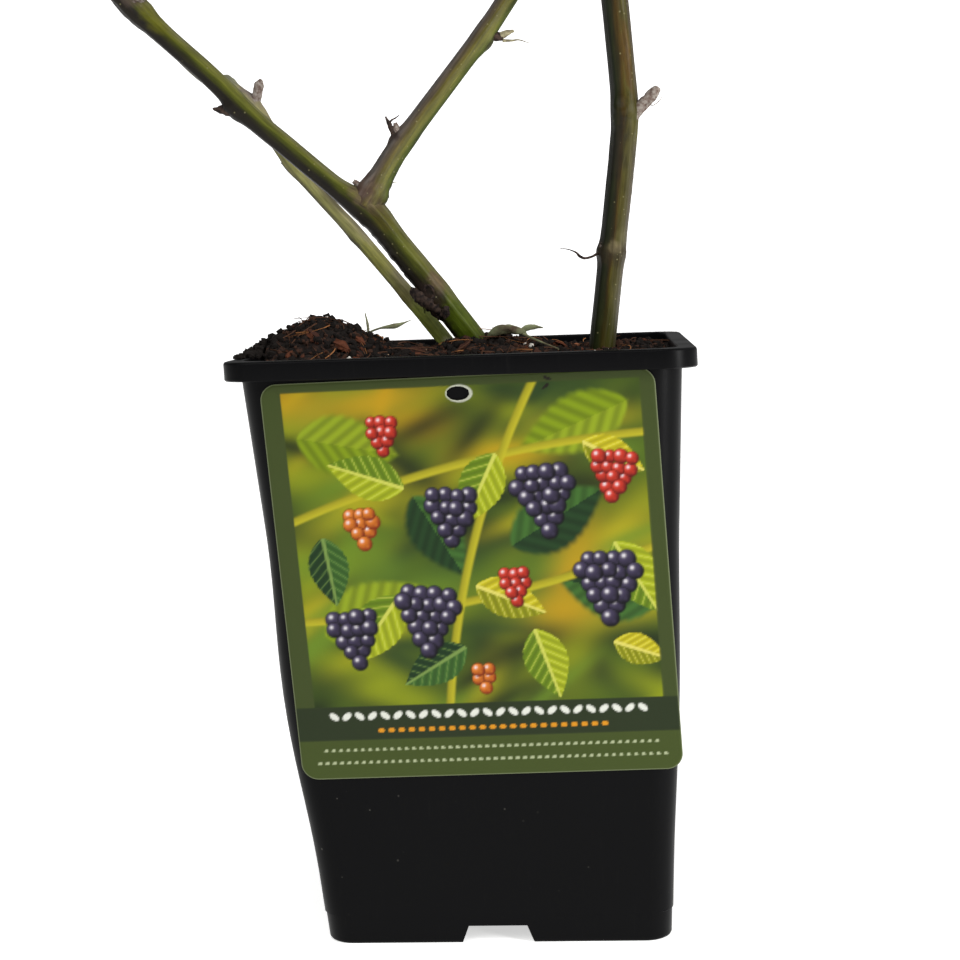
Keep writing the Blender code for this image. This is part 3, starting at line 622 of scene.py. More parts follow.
def wire(name, knots, sides=8):
    """A round thread, stalk or rib through (point, radius) knots, as a mesh with closed ends."""
    curve = bpy.data.curves.new(name, "CURVE")
    curve.dimensions = "3D"
    curve.bevel_depth = 1
    curve.bevel_resolution = max(0, sides // 4 - 1) if sides > 4 else 0
    curve.use_fill_caps = True
    spline = curve.splines.new("POLY")
    spline.points.add(len(knots) - 1)
    for knot, (point, radius) in zip(spline.points, knots):
        knot.co = (*point, 1)
        knot.radius = radius
    made = bpy.data.objects.new(name, curve)
    bpy.context.scene.collection.objects.link(made)
    bpy.ops.object.select_all(action="DESELECT")
    made.select_set(True)
    bpy.context.view_layer.objects.active = made
    bpy.ops.object.convert(target="MESH")
    bpy.ops.object.mode_set(mode="EDIT")
    bpy.ops.mesh.select_all(action="SELECT")
    bpy.ops.mesh.remove_doubles(threshold=0.00001)
    bpy.ops.mesh.normals_make_consistent(inside=False)
    bpy.ops.object.mode_set(mode="OBJECT")
    bpy.ops.object.shade_smooth_by_angle(angle=math.radians(60))
    return made


def smooth_path(points, steps):
    """Points along a smooth curve through all the given ones."""
    padded = [2 * points[0] - points[1]] + list(points) + [2 * points[-1] - points[-2]]
    path = []
    for a, b, c, d in zip(padded, padded[1:], padded[2:], padded[3:]):
        for step in range(steps):
            t = step / steps
            path.append(0.5 * (2 * b + (c - a) * t + (2 * a - 5 * b + 4 * c - d) * t ** 2
                               + (3 * b - a - 3 * c + d) * t ** 3))
    return path + [points[-1]]


def tapered(points, steps, radii):
    """(point, radius) knots along a smooth curve whose thickness runs through the given radii."""
    path = smooth_path([Vector(point) * MM for point in points], steps)
    knots = []
    for i, point in enumerate(path):
        place = i / (len(path) - 1) * (len(radii) - 1)
        low = min(int(place), len(radii) - 2)
        share = place - low
        knots.append((point, (radii[low] * (1 - share) + radii[low + 1] * share) * MM))
    return knots


def merge(name, pieces, material):
    """Joins pieces into one that rides with the plant."""
    bpy.ops.object.select_all(action="DESELECT")
    for piece in pieces:
        piece.data.materials.clear()
        piece.data.materials.append(material)
        piece.select_set(True)
    bpy.context.view_layer.objects.active = pieces[0]
    if len(pieces) > 1:
        bpy.ops.object.join()
    pieces[0].name = pieces[0].data.name = name
    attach(pieces[0], "root")
    return pieces[0]


def dry_leaf_blade(name, tip_reach, half_width, fold, curl, turn, place):
    """A shrivelled leaf: a grid cut to a pointed oval, folded along its rib and curled up."""
    bpy.ops.mesh.primitive_grid_add(x_subdivisions=18, y_subdivisions=10, size=2)
    made = bpy.context.object
    made.name = name
    for vert in made.data.vertices:
        along = (vert.co.x + 1) / 2
        across = vert.co.y
        outline = math.sin(math.pi * min(1.0, along ** 0.8)) ** 0.75 + 0.04
        crinkle = noise.noise(Vector((along * 4, across * 2, tip_reach * 300))) * 0.16
        lean = fold * abs(across) + crinkle
        width = half_width * outline * across
        vert.co = (along * tip_reach, width * math.cos(lean),
                   abs(width) * math.sin(lean) + curl * tip_reach * math.sin(2.6 * along) + crinkle * half_width)
    thick = made.modifiers.new("thickness", "SOLIDIFY")
    thick.thickness = 0.16 * MM
    thick.offset = 0
    bpy.ops.object.modifier_apply(modifier=thick.name)
    rounder = made.modifiers.new("softer", "SUBSURF")
    rounder.levels = rounder.render_levels = 1
    bpy.ops.object.modifier_apply(modifier=rounder.name)
    made.data.transform(Matrix.Translation(Vector(place) * MM) @ turn)
    bpy.ops.object.shade_smooth()
    return made


def dead_leaf():
    """A dead leaf: greyed green gone brown in patches, matt, with its veins just raised."""
    material, tree, shader = new_finish("dead leaf", "#63604a", 0.85, 0.3)
    place = add(tree, "TexCoord").outputs["Object"]
    stain = add(tree, "TexNoise", values={"Scale": 1 / 0.005, "Detail": 4},
                links={"Vector": place}).outputs["Fac"]
    ramp = add(tree, "ValToRGB", links={"Fac": stain})
    ramp.color_ramp.elements[0].position = 0.4
    ramp.color_ramp.elements[0].color = linear("#4f4032") + [1]
    ramp.color_ramp.elements[1].position = 0.6
    ramp.color_ramp.elements[1].color = linear("#7f8462") + [1]
    tree.links.new(ramp.outputs["Color"], shader.inputs["Base Color"])
    veins = add(tree, "TexNoise", values={"Scale": 1 / 0.0012, "Detail": 3},
                links={"Vector": place}).outputs["Fac"]
    bump = add(tree, "Bump", values={"Strength": 0.5, "Distance": 0.0003}, links={"Height": veins})
    tree.links.new(bump.outputs["Normal"], shader.inputs["Normal"])
    return material


LEAF_PLACE = (-0.6, -2, 158.6)
LOBE_PLACE = (8.4, -3, 159.6)
dry_pieces = [
    dry_leaf_blade("dry_leaf", 11.5 * MM, 3.4 * MM, 0.8, 0.07,
                   Matrix.Rotation(math.radians(-8), 4, "Z") @ Matrix.Rotation(math.radians(-2), 4, "Y"), LEAF_PLACE),
    dry_leaf_blade("dry_lobe", 7.2 * MM, 1.9 * MM, 0.8, 0.03,
                   Matrix.Rotation(math.radians(10), 4, "Z") @ Matrix.Rotation(math.radians(-9), 4, "Y"), LOBE_PLACE),
    wire("dry_leaf_stalk", tapered([(8.3, -3, 160.2), (11, -4.4, 158.8), (15, -9, 157.1), (19.8, -14, 155.3)], 5,
                                   (0.42, 0.34, 0.3, 0.24))),
    wire("dry_blade", tapered([(-33.2, -6, 161.5), (-33.3, -6, 163.6), (-33.9, -6, 166.9)], 5, (0.32, 0.42, 0.12))),
    wire("dry_sprig", tapered([(-33.2, -7, 161.2), (-29.5, -9, 162.4), (-25.4, -10, 162.9), (-22.6, -10.6, 163.7),
                               (-20.6, -11, 164.4)], 5, (0.28, 0.3, 0.85, 0.3, 0.1))),
]
merge("dry_leaf_and_sprigs", dry_pieces, dead_leaf())

# Picture card
# A stiff plastic card with round corners and an oval hang hole, printed and laminated, and stuck
# to the front wall. Its sides lean over a little to the left, as the pot does.
CARD_WIDTH = 99.3 * MM
CARD_HEIGHT = 104.5 * MM
CARD_THICKNESS = 0.6 * MM
CARD_CORNER = 4.3 * MM
CARD_CENTRE_X = -2.5 * MM
CARD_CENTRE_HEIGHT = 99.2 * MM
CARD_TURN = math.radians(0.9)
CARD_LEAN = math.radians(2.0)
CARD_EDGE = 0.14 * MM
HOLE_WIDTH = 5.9 * MM
HOLE_HEIGHT = 3.6 * MM
HOLE_FROM_TOP = 4.4 * MM
HOLE_FROM_CENTRE = 0.3 * MM
HOLE_START = 0.35
HOLE_REACH = 2.2
WALL_CLEARANCE = 0.3 * MM
PRINT_DOT = 0.38 * MM
# The share of each printed colour that is kept: an even painted shade over the whole card
PRINT_SHADE = 0.64

# The print, in mm from the card's left and top edges: a picture, a dark band and a lighter one
PICTURE_LEFT, PICTURE_RIGHT, PICTURE_TOP, PICTURE_FOOT = 5.2, 95.4, 2.4, 85.0
BAND_FOOT = 94.0


def ink(code):
    """A printed colour, darkened evenly as painted shade, for less light on the card."""
    return np.array(linear(code)) * PRINT_SHADE


def soft_step(depth, blur):
    """1 well inside a shape, 0 outside, with a soft edge as wide as the blur."""
    share = np.clip(0.5 + depth / blur, 0, 1)
    return share * share * (3 - 2 * share)


def lay(canvas, cover, colour):
    """Prints one more colour over the canvas where the cover says so."""
    canvas += np.asarray(cover)[..., None] * (colour - canvas)


def turned(across, down, place, angle):
    """Coordinates along and across a motif that lies at an angle from a place."""
    dx, dy = across - place[0], down - place[1]
    cos, sin = math.cos(math.radians(angle)), math.sin(math.radians(angle))
    return dx * cos + dy * sin, dy * cos - dx * sin


def print_blur(canvas, across, down, rng):
    """The picture's background: a hedge far out of focus, as long soft strokes of green."""
    canvas[:] = ink("#4d6316")
    for code, count, weight in (("#1f3216", 26, 0.85), ("#8f9a14", 30, 0.8), ("#2c431c", 18, 0.8),
                                ("#b4aa18", 18, 0.75), ("#6b8a22", 22, 0.7), ("#c79a12", 7, 0.75),
                                ("#15210f", 12, 0.85)):
        for _ in range(count):
            place = (rng.uniform(0, 99), rng.uniform(0, 88))
            along, side = turned(across, down, place, rng.gauss(-18, 30))
            length, width = rng.uniform(6, 17), rng.uniform(1.8, 5.5)
            lay(canvas, weight * np.exp(-(along / length) ** 2 - (side / width) ** 2), ink(code))


def print_leaf(canvas, across, down, place, angle, length, width, codes, blur=0.35):
    """A plain pointed leaf with a midrib and side veins, one half of it in the light."""
    along, side = turned(across, down, place, angle)
    share = np.clip(along / length, 0, 1)
    half = width / 2 * np.sin(np.pi * share ** 0.8) ** 0.9
    half = half * (1 + 0.05 * np.abs(np.sin(share * 34)))
    cover = soft_step(half - np.abs(side), blur) * soft_step(along, blur) * soft_step(length - along, blur)
    light, shade, vein = (ink(code) for code in codes)
    folds = 0.5 + 0.5 * np.cos((along - 0.9 * np.abs(side)) * math.tau / (length / 7))
    tone = np.where(side[..., None] < 0, light, shade) * (0.72 + 0.4 * folds[..., None])
    lay(canvas, cover, tone)
    lines = np.clip(folds * 9 - 8.1, 0, 1) * (blur < 1)
    lay(canvas, cover * lines * 0.55, vein)
    lay(canvas, cover * soft_step(0.28 + 0.2 * (1 - share) - np.abs(side), 0.4) * (blur < 1), vein)


def print_stalk(canvas, across, down, start, end, bow, width, code, blur=0.5):
    """A bowed stalk between two places."""
    angle = math.degrees(math.atan2(end[1] - start[1], end[0] - start[0]))
    length = math.hypot(end[0] - start[0], end[1] - start[1])
    along, side = turned(across, down, start, angle)
    share = np.clip(along / length, 0, 1)
    away = side - bow * 4 * share * (1 - share)
    cover = soft_step(width / 2 - np.abs(away), blur) * soft_step(along, 1) * soft_step(length - along, 1)
    lay(canvas, cover, ink(code) * (1.15 - 0.5 * np.clip(away / width + 0.5, 0, 1))[..., None])


def print_berry(canvas, across, down, place, radius, codes):
    """One smooth round berry with a shaded side, a bright window of light and a dim one."""
    near = (np.abs(across - place[0]) < 1.3 * radius) & (np.abs(down - place[1]) < 1.3 * radius)
    x, y = (across[near] - place[0]) / radius, (down[near] - place[1]) / radius
    away = np.sqrt(x * x + y * y)
    body, glow = (ink(code) for code in codes)
    part = canvas[near]
    lay(part, soft_step(1.1 - away, 0.25) * 0.8, body * 0.25)
    facing = np.sqrt(np.clip(1 - away ** 2, 0, 1))
    shine = np.clip(0.15 + 0.85 * (facing * 0.75 - 0.4 * x - 0.5 * y), 0, 1)
    lay(part, soft_step(1 - away, 0.22), body * 0.5 + (glow - body * 0.5) * shine[..., None] ** 1.6)
    lay(part, np.exp(-((x + 0.34) ** 2 + (y + 0.38) ** 2) / 0.05), ink("#f3eef2"))
    lay(part, 0.4 * np.exp(-((x - 0.4) ** 2 + (y - 0.42) ** 2) / 0.06), glow)
    canvas[near] = part


def print_bunch(canvas, across, down, place, angle, rows, radius, codes, rng):
    """A bunch of berries that hangs from a place, widest near its top and ending in one berry."""
    print_stalk(canvas, across, down, place,
                (place[0] + math.cos(math.radians(angle)) * rows * radius * 1.5,
                 place[1] + math.sin(math.radians(angle)) * rows * radius * 1.5), 0, 0.9, "#8e9a2a")
    berries = []
    for row in range(rows):
        count = max(1, round((rows - row) * 0.75) + (1 if 0 < row < rows - 2 else 0))
        for i in range(count):
            out = (i - (count - 1) / 2) * radius * 1.55 + rng.uniform(-0.2, 0.2) * radius
            down_by = (row * 1.45 + rng.uniform(-0.2, 0.2) + 0.7) * radius
            turn = math.radians(angle)
            berries.append((place[0] + down_by * math.cos(turn) - out * math.sin(turn),
                            place[1] + down_by * math.sin(turn) + out * math.cos(turn)))
    rng.shuffle(berries)
    for spot in berries:
        print_berry(canvas, across, down, spot, radius * rng.uniform(0.92, 1.1), codes)


DARK_BERRY = ("#120d18", "#4b4260")
RED_BERRY = ("#8e1410", "#e2402a")
ORANGE_BERRY = ("#b0380c", "#f08a2c")
FRESH_LEAF = ("#a9b51c", "#6c8a16", "#cfd25a")
DEEP_LEAF = ("#3d6628", "#1f3d1c", "#79964a")
YELLOW_LEAF = ("#c9bd1c", "#93960f", "#e2d868")
FAR_LEAF = ("#8c9f1c", "#7d930f", "#8c9f1c")


def print_picture(canvas, across, down):
    """Bunches of plain round berries that hang in three slanting rows among pointed leaves."""
    rng = random.Random(5)
    print_blur(canvas, across, down, rng)
    for place, angle, length, width, codes in (
            ((8, 14), 12, 26, 15, FAR_LEAF), ((92, 8), 158, 30, 14, FAR_LEAF), ((60, 44), -30, 28, 15, DEEP_LEAF),
            ((10, 66), -24, 30, 16, FAR_LEAF), ((96, 60), 196, 26, 15, DEEP_LEAF), ((36, 30), 62, 24, 13, DEEP_LEAF)):
        print_leaf(canvas, across, down, place, angle, length, width, codes, blur=2.2)
    for start, end, bow in (((97, 16), (4, 36), 4), ((97, 45), (4, 62), -4), ((70, 0), (40, 90), 5)):
        print_stalk(canvas, across, down, start, end, bow, 2.0, "#b9b024", 0.9)
    for place, angle, length, width, codes in (
            ((80, 18), 28, 17, 9, YELLOW_LEAF), ((58, 20), 118, 20, 11, FRESH_LEAF),
            ((34, 28), 200, 20, 11, FRESH_LEAF), ((86, 44), 62, 21, 12, FRESH_LEAF),
            ((50, 54), 24, 19, 10, YELLOW_LEAF), ((30, 56), 128, 22, 12, FRESH_LEAF),
            ((64, 66), 74, 19, 11, FRESH_LEAF), ((12, 40), 84, 18, 10, DEEP_LEAF),
            ((46, 70), 150, 19, 10, DEEP_LEAF), ((84, 70), 20, 14, 8, YELLOW_LEAF)):
        print_leaf(canvas, across, down, place, angle, length, width, codes)
    for place, angle, rows, radius, codes in (
            ((88, 21), 98, 5, 1.75, RED_BERRY), ((69, 24), 86, 6, 2.05, DARK_BERRY),
            ((46, 29), 94, 5, 2.0, DARK_BERRY), ((22, 33), 84, 4, 1.7, ORANGE_BERRY),
            ((84, 47), 92, 6, 2.1, DARK_BERRY), ((60, 50), 88, 4, 1.7, RED_BERRY),
            ((38, 54), 96, 6, 2.1, DARK_BERRY), ((17, 60), 86, 5, 2.0, DARK_BERRY),
            ((30, 10), 92, 4, 1.6, RED_BERRY), ((50, 75), 90, 3, 1.6, ORANGE_BERRY)):
        print_bunch(canvas, across, down, place, angle, rows, radius, codes, rng)


def print_row(canvas, across, down, first, last, level, step, half_length, half_height, code, tilt=0):
    """A row of small ovals, tilted to and fro: a plain ornament."""
    count = round((last - first) / step)
    for i in range(count + 1):
        along, side = turned(across, down, (first + i * (last - first) / count, level), tilt * (-1) ** i)
        lay(canvas, soft_step(1 - np.hypot(along / half_length, side / half_height), 0.35), ink(code))


def print_card(x, y):
    """The whole print, for places on the card measured from its centre in metres."""
    across = (x + CARD_WIDTH / 2) / MM
    down = (CARD_HEIGHT / 2 - y) / MM
    canvas = np.zeros((len(x), 3))
    canvas[:] = ink("#3f4b20")
    picture = np.zeros_like(canvas)
    print_picture(picture, across, down)
    inside = np.minimum.reduce([across - PICTURE_LEFT, PICTURE_RIGHT - across,
                                down - PICTURE_TOP, PICTURE_FOOT - down])
    lay(canvas, soft_step(inside, 0.4), picture)
    lay(canvas, soft_step(np.minimum(down - PICTURE_FOOT, BAND_FOOT - down), 0.4), ink("#28331a"))
    lay(canvas, soft_step(down - BAND_FOOT, 0.4), ink("#43501f"))
    print_row(canvas, across, down, 10, 90, 87.6, 3.3, 1.35, 0.8, "#e9ebdf", 38)
    print_row(canvas, across, down, 22, 80, 91.6, 2.6, 0.85, 0.6, "#e0951c", 0)
    print_row(canvas, across, down, 7, 93, 96.8, 1.9, 0.55, 0.4, "#b3bc93", 0)
    print_row(canvas, across, down, 5, 95, 100.2, 1.9, 0.55, 0.4, "#b3bc93", 0)
    hole = np.hypot((across - 49.95 - HOLE_FROM_CENTRE / MM) / 3.35, (down - HOLE_FROM_TOP / MM) / 2.2)
    lay(canvas, soft_step(1.02 - hole, 0.12), ink("#c4c6b4"))
    for place, angle in (((72.6, 1.6), 20), ((72.0, 3.6), -38)):
        along, side = turned(across, down, place, angle)
        lay(canvas, soft_step(1 - np.hypot(along / 1.1, side / 0.4), 0.3), ink("#1c160e"))
    # A pale line round the card's outline: a painted highlight where light catches its edge
    corner_x = np.abs(x) - (CARD_WIDTH / 2 - CARD_CORNER)
    corner_y = np.abs(y) - (CARD_HEIGHT / 2 - CARD_CORNER)
    from_edge = CARD_CORNER - np.where((corner_x > 0) & (corner_y > 0), np.hypot(corner_x, corner_y),
                                       np.maximum(corner_x, corner_y))
    lay(canvas, 0.75 * soft_step(0.22 - from_edge / MM, 0.3), ink("#8d9672"))
    return canvas


bpy.ops.mesh.primitive_grid_add(x_subdivisions=round(CARD_WIDTH / PRINT_DOT),
                                y_subdivisions=round(CARD_HEIGHT / PRINT_DOT), size=1)
card = bpy.context.object
card.name = card.data.name = "picture_card"
hole_place = Vector((HOLE_FROM_CENTRE, CARD_HEIGHT / 2 - HOLE_FROM_TOP, 0))


def hole_radius(co):
    """How far out a place is from the hang hole's centre. Its rim is at 1."""
    return math.hypot((co.x - hole_place.x) * 2 / HOLE_WIDTH, (co.y - hole_place.y) * 2 / HOLE_HEIGHT)


straight_x, straight_y = CARD_WIDTH / 2 - CARD_CORNER, CARD_HEIGHT / 2 - CARD_CORNER
for vert in card.data.vertices:
    x, y = vert.co.x * CARD_WIDTH, vert.co.y * CARD_HEIGHT
    past_x, past_y = abs(x) - straight_x, abs(y) - straight_y
    if past_x > 0 and past_y > 0:
        pull = max(past_x, past_y) / math.hypot(past_x, past_y)
        x, y = math.copysign(straight_x + past_x * pull, x), math.copysign(straight_y + past_y * pull, y)
    vert.co = (x, y, CARD_THICKNESS / 2)
bpy.ops.object.mode_set(mode="EDIT")
bpy.ops.mesh.select_mode(type="FACE")
bpy.ops.mesh.select_all(action="DESELECT")
bpy.ops.object.mode_set(mode="OBJECT")
for face in card.data.polygons:
    face.select = hole_radius(face.center) < HOLE_START
bpy.ops.object.mode_set(mode="EDIT")
bpy.ops.mesh.delete(type="FACE")
bpy.ops.mesh.select_mode(type="EDGE")
bpy.ops.mesh.select_non_manifold()
bpy.ops.object.mode_set(mode="OBJECT")
for vert in card.data.vertices:
    radius = hole_radius(vert.co)
    if vert.select and radius < HOLE_REACH:
        wanted = 1.0
    elif radius < HOLE_REACH:
        wanted = 1 + (radius - HOLE_START) * (HOLE_REACH - 1) / (HOLE_REACH - HOLE_START)
    else:
        wanted = radius
    vert.co = hole_place + (vert.co - hole_place) * (wanted / radius)
    vert.co.z = CARD_THICKNESS / 2 - (CARD_EDGE if vert.select else 0)
bpy.ops.object.mode_set(mode="EDIT")
bpy.ops.mesh.extrude_region()
bpy.ops.transform.resize(value=(1, 1, 0), center_override=(0, 0, -CARD_THICKNESS / 2))
bpy.ops.mesh.fill()
bpy.ops.mesh.select_all(action="SELECT")
bpy.ops.mesh.normals_make_consistent(inside=False)
bpy.ops.object.mode_set(mode="OBJECT")
bpy.ops.object.shade_smooth_by_angle(angle=math.radians(50))

spots = np.array([vert.co for vert in card.data.vertices])
colours = np.ones((len(spots), 4))
colours[:, :3] = print_card(spots[:, 0], spots[:, 1])
# The back and the sides take the pale colour of the edge line; on the sides it is painted highlight
colours[spots[:, 2] < 0, :3] = ink("#8d9672")
printed = card.data.color_attributes.new("print", "FLOAT_COLOR", "POINT")
printed.data.foreach_set("color", colours.ravel())


def laminated_print():
    """Print under a clear film: full colours, a slight even gloss and faint rubbed streaks."""
    material, tree, shader = new_finish("laminated print", "#3f4b20", 0.34, 0.14)
    colour = add(tree, "VertexColor", {"layer_name": "print"}).outputs["Color"]
    tree.links.new(colour, shader.inputs["Base Color"])
    place = add(tree, "TexCoord").outputs["Object"]
    rubbed = add(tree, "TexNoise", values={"Scale": 1 / 0.012, "Detail": 5},
                 links={"Vector": place}).outputs["Fac"]
    dull = add(tree, "MapRange", values={"From Min": 0.35, "From Max": 0.7, "To Min": 0.28, "To Max": 0.42},
               links={"Value": rubbed}).outputs["Result"]
    tree.links.new(dull, shader.inputs["Roughness"])
    bump = add(tree, "Bump", values={"Strength": 0.08, "Distance": 0.0004}, links={"Height": rubbed})
    tree.links.new(bump.outputs["Normal"], shader.inputs["Normal"])
    return material


slope = math.atan2((TOP_WIDTH - FOOT_WIDTH) / 2, POT_HEIGHT)
wall_y = -(FOOT_WIDTH / 2 + CARD_CENTRE_HEIGHT * math.tan(slope))
off_wall = (WALL_CLEARANCE + CARD_THICKNESS / 2) / math.cos(slope)
lean = Matrix.Identity(4)
lean[0][1] = -math.tan(CARD_LEAN)
card.data.transform(Matrix.Translation((CARD_CENTRE_X, wall_y - off_wall, CARD_CENTRE_HEIGHT))
                    @ Matrix.Rotation(math.pi / 2 + slope, 4, "X")
                    @ Matrix.Rotation(CARD_TURN, 4, "Z") @ lean)
card.data.materials.append(laminated_print())
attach(card, "root")
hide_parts("label_card")

# Left cane
# The thickest of three cut-back canes: a bare green stem with five blunt angles, which thickens at
# each node. Its thin skin is streaked lengthwise, green where the light falls and dark beneath; that
# is partly its own colour and partly painted light above and painted shade beneath.
CANE_AROUND = 60
CANE_STEP = 0.8 * MM
CANE_BEND = 7 * MM
CANE_RIDGE = 0.05
CANE_BURIED = 5 * MM
NODE_SWELL = 0.05
NODE_REACH = 3.5 * MM
THINNING_RUN = 12 * MM

LEFT_FOOT = (-5.5 * MM, 6 * MM)
LEFT_RADII = (3.75 * MM, 3.7 * MM)
# An internode: its length in mm, its lean from upright and its heading from +X towards +Y in degrees
LEFT_INTERNODES = [(16.5, 33.7, 191), (31.4, 38.6, 190), (47.6, 49.4, 188), (34.4, 43.5, 187), (25.4, 43.7, 190)]
# How far a cane bows to its upper side: the reach along it and the bow there, in mm
LEFT_BOW = [(0, 0.5), (14, 0.1), (30, 0.25), (42, 0.5), (58, -0.5), (80, -0.2), (101, 0.85), (126, -0.15), (156, 0)]
FORK_NODE = 2
FORK_THINNING = 0.76


def direction(lean, heading):
    lean = math.radians(lean)
    heading = math.radians(heading)
    return Vector((math.sin(lean) * math.cos(heading), math.sin(lean) * math.sin(heading), math.cos(lean)))


def side_of(axis, side):
    """The way out of a stem on one of its sides, square to its axis. 0 is its upper side."""
    level = Vector((0, 0, 1)).cross(axis).normalized()
    upper = axis.cross(level)
    return upper * math.cos(side) + level * math.sin(side)


def smooth_share(low, high, value):
    share = min(1.0, max(0.0, (value - low) / (high - low)))
    return share * share * (3 - 2 * share)


class Limb:
    """A cane or its branch: its nodes, how far along it they are, and its thickness."""

    def __init__(self, start, internodes, radii, bow, thinning=None):
        self.nodes = [start]
        self.reaches = [0.0]
        self.radii = radii
        self.bow = [(reach * MM, rise * MM) for reach, rise in bow]
        self.thinning = thinning
        for length, lean, heading in internodes:
            self.nodes.append(self.nodes[-1] + direction(lean, heading) * length * MM)
            self.reaches.append(self.reaches[-1] + length * MM)

    def way(self, i):
        """The direction of the internode below a node."""
        return (self.nodes[i] - self.nodes[i - 1]).normalized()

    def radius(self, reach):
        """The thickness narrows steadily, and more quickly above a fork."""
        first, last = self.radii
        share = first + (last - first) * reach / self.reaches[-1]
        if self.thinning:
            fork = self.reaches[self.thinning[0]]
            share *= 1 + (self.thinning[1] - 1) * smooth_share(fork, fork + THINNING_RUN, reach)
        return share

    def tip(self):
        return self.nodes[-1], self.way(-1), self.radius(self.reaches[-1])

    def centre(self, reach):
        """The middle of the stem at a reach: straight between the nodes, curved at each of them."""
        last = len(self.nodes) - 1
        i = next((i for i in range(1, last) if reach <= self.reaches[i]), last)
        spot = self.nodes[i] + self.way(i) * (reach - self.reaches[i])
        for node in (i - 1, i):
            short = CANE_BEND - abs(reach - self.reaches[node])
            if 0 < node < last and short > 0:
                spot += (self.way(node + 1) - self.way(node)) * short ** 2 / (4 * CANE_BEND)
        for (low, first), (high, second) in zip(self.bow, self.bow[1:]):
            if low <= reach <= high:
                rise = first + (second - first) * smooth_share(low, high, reach)
                spot += side_of(self.way(i), 0) * rise
        return spot


def frames_along(points):
    """A line's direction at each of its points and two ways square to it, which never twist."""
    ways = [(points[min(i + 1, len(points) - 1)] - points[max(i - 1, 0)]).normalized() for i in range(len(points))]
    level = Vector((0, 0, 1)).cross(ways[0]).normalized()
    frames = []
    for way in ways:
        level = (level - way * level.dot(way)).normalized()
        frames.append((way, level, way.cross(level)))
    return frames


def roll_up(name, around, points, skin):
    """A tube made from a grid: each of its rows goes round one point of a line. The skin function
    is told the row, the angle and the way out, and gives the radius there and the colour."""
    rows = len(points) - 1
    bpy.ops.object.select_all(action="DESELECT")
    bpy.ops.mesh.primitive_grid_add(x_subdivisions=around, y_subdivisions=rows, size=2)
    made = bpy.context.object
    made.name = made.data.name = name
    frames = frames_along(points)
    colours = []
    grains = []
    for vert in made.data.vertices:
        angle = (vert.co.x + 1) * math.pi
        row = round((vert.co.y + 1) / 2 * rows)
        way, level, upper = frames[row]
        outward = upper * math.cos(angle) + level * math.sin(angle)
        radius, colour = skin(row, angle, outward)
        vert.co = points[row] + outward * radius
        colours.extend((*colour, 1))
        grains.extend((radius * math.cos(angle), radius * math.sin(angle), row * CANE_STEP))
    made.data.color_attributes.new("bark", "FLOAT_COLOR", "POINT").data.foreach_set("color", colours)
    made.data.attributes.new("grain", "FLOAT_VECTOR", "POINT").data.foreach_set("vector", grains)
    bpy.ops.object.mode_set(mode="EDIT")
    bpy.ops.mesh.select_all(action="SELECT")
    bpy.ops.mesh.remove_doubles(threshold=0.000002)
    bpy.ops.mesh.fill_holes(sides=0)
    bpy.ops.mesh.select_all(action="SELECT")
    bpy.ops.mesh.normals_make_consistent(inside=False)
    bpy.ops.object.mode_set(mode="OBJECT")
    bpy.ops.object.shade_smooth_by_angle(angle=math.radians(60))
    return made


def blend_stops(stops, place):
    """The colour at a place among (place, colour) stops."""
    for (low, first), (high, second) in zip(stops, stops[1:]):
        if place <= high:
            return first.lerp(second, min(1.0, max(0.0, (place - low) / (high - low))))
    return stops[-1][1]


def facing(limb, reach, side):
    """A way out of the limb: a side in degrees, or a direction in the room."""
    if isinstance(side, tuple):
        return Vector(side).normalized()
    i = next((i for i in range(1, len(limb.nodes)) if reach <= limb.reaches[i] + 0.1 * MM), len(limb.nodes) - 1)
    return side_of(limb.way(i), math.radians(side))


